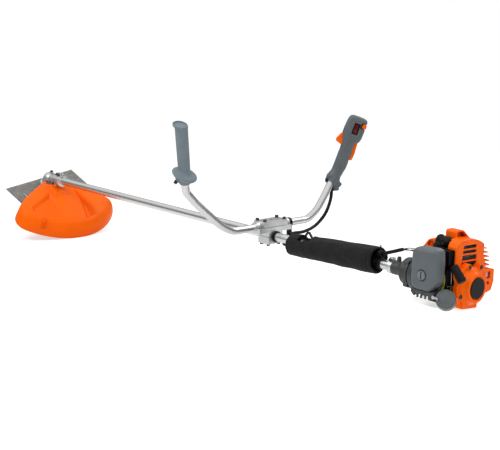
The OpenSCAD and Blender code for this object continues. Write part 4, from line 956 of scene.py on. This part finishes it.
# ---------- camera, light, floor ----------
def make_camera(where, lens, turn, down, roll):
    """Camera turned to the left from +Y by turn, tipped down and rolled, all in degrees."""
    data = bpy.data.cameras.new("camera")
    data.lens = lens
    data.sensor_width = 36.0
    data.clip_end = 50
    o = bpy.data.objects.new("camera", data)
    scene.collection.objects.link(o)
    o.location = where
    az, pitch = math.radians(turn), math.radians(down)
    look = Vector((-math.sin(az) * math.cos(pitch), math.cos(az) * math.cos(pitch), -math.sin(pitch)))
    level = look.to_track_quat("-Z", "Y").to_matrix()
    o.rotation_euler = (level @ Matrix.Rotation(math.radians(roll), 3, "Z")).to_euler()
    scene.camera = o


make_camera(Vector(SHAFT_AT) + Vector((1.941, -2.225, 0.633)), lens=83.0, turn=48, down=10.18, roll=-0.12)


def studio_world():
    """Bright overhead and dim at the horizon for the object, plain white for the camera."""
    world = bpy.data.worlds.new("studio")
    scene.world = world
    world.use_nodes = True
    nt = world.node_tree
    link = nt.links.new
    seen = nt.nodes["Background"]
    seen.inputs["Color"].default_value = (1, 1, 1, 1)
    co = nt.nodes.new("ShaderNodeTexCoord")
    parts = nt.nodes.new("ShaderNodeSeparateXYZ")
    link(co.outputs["Generated"], parts.inputs["Vector"])
    ramp = nt.nodes.new("ShaderNodeValToRGB")
    stops = ramp.color_ramp.elements
    stops[0].position, stops[0].color = 0.0, (0.16, 0.16, 0.165, 1)
    stops[1].position, stops[1].color = 1.0, (1.1, 1.1, 1.1, 1)
    for at, level in ((0.12, 0.22), (0.38, 0.42), (0.62, 0.95)):
        e = stops.new(at)
        e.color = (level, level, level * 1.01, 1)
    link(parts.outputs["Z"], ramp.inputs["Fac"])
    lit = nt.nodes.new("ShaderNodeBackground")
    link(ramp.outputs["Color"], lit.inputs["Color"])
    path = nt.nodes.new("ShaderNodeLightPath")
    mix = nt.nodes.new("ShaderNodeMixShader")
    link(path.outputs["Is Camera Ray"], mix.inputs["Fac"])
    link(lit.outputs["Background"], mix.inputs[1])
    link(seen.outputs["Background"], mix.inputs[2])
    link(mix.outputs["Shader"], nt.nodes["World Output"].inputs["Surface"])


studio_world()


def area(name, where, target, size, energy):
    d = bpy.data.lights.new(name, "AREA")
    d.shape = "RECTANGLE"
    d.size, d.size_y = size
    d.energy = energy
    o = bpy.data.objects.new(name, d)
    o.location = where
    o.rotation_euler = (Vector(target) - Vector(where)).to_track_quat("-Z", "Y").to_euler()
    scene.collection.objects.link(o)


area("key", (-0.3, -2.4, 3.0), (0.1, 0, 0.2), (2.2, 1.2), 52)
area("rim", (0.6, 2.4, 2.4), (0, 0, 0.2), (2.6, 0.8), 24)
area("side", (3.0, -0.6, 1.6), (0.8, 0, 0.2), (1.0, 1.2), 12)


def make_floor(half, base, camera_glow):
    """Pale glossy floor; a little light of its own, for the camera alone, brings it near white."""
    me = bpy.data.meshes.new("floor")
    corners = [(-half, -half, 0), (half, -half, 0), (half, half, 0), (-half, half, 0)]
    me.from_pydata(corners, [], [(0, 1, 2, 3)])
    o = bpy.data.objects.new("floor", me)
    scene.collection.objects.link(o)
    o.location.z = -0.0005
    m = bpy.data.materials.new("pale floor")
    m.use_nodes = True
    nt = m.node_tree
    b = nt.nodes["Principled BSDF"]
    b.inputs["Base Color"].default_value = (base, base, base, 1)
    b.inputs["Roughness"].default_value = 0.16
    b.inputs["IOR"].default_value = 1.30
    b.inputs["Emission Color"].default_value = (1, 1, 1, 1)
    glow = nt.nodes.new("ShaderNodeMath")
    glow.operation = "MULTIPLY"
    glow.inputs[1].default_value = camera_glow
    path = nt.nodes.new("ShaderNodeLightPath")
    nt.links.new(path.outputs["Is Camera Ray"], glow.inputs[0])
    nt.links.new(glow.outputs["Value"], b.inputs["Emission Strength"])
    me.materials.append(m)


make_floor(half=3.2, base=0.90, camera_glow=0.46)

scene.view_settings.view_transform = "Standard"
scene.view_settings.look = "None"
scene.view_settings.exposure = 0.0
scene.render.film_transparent = False
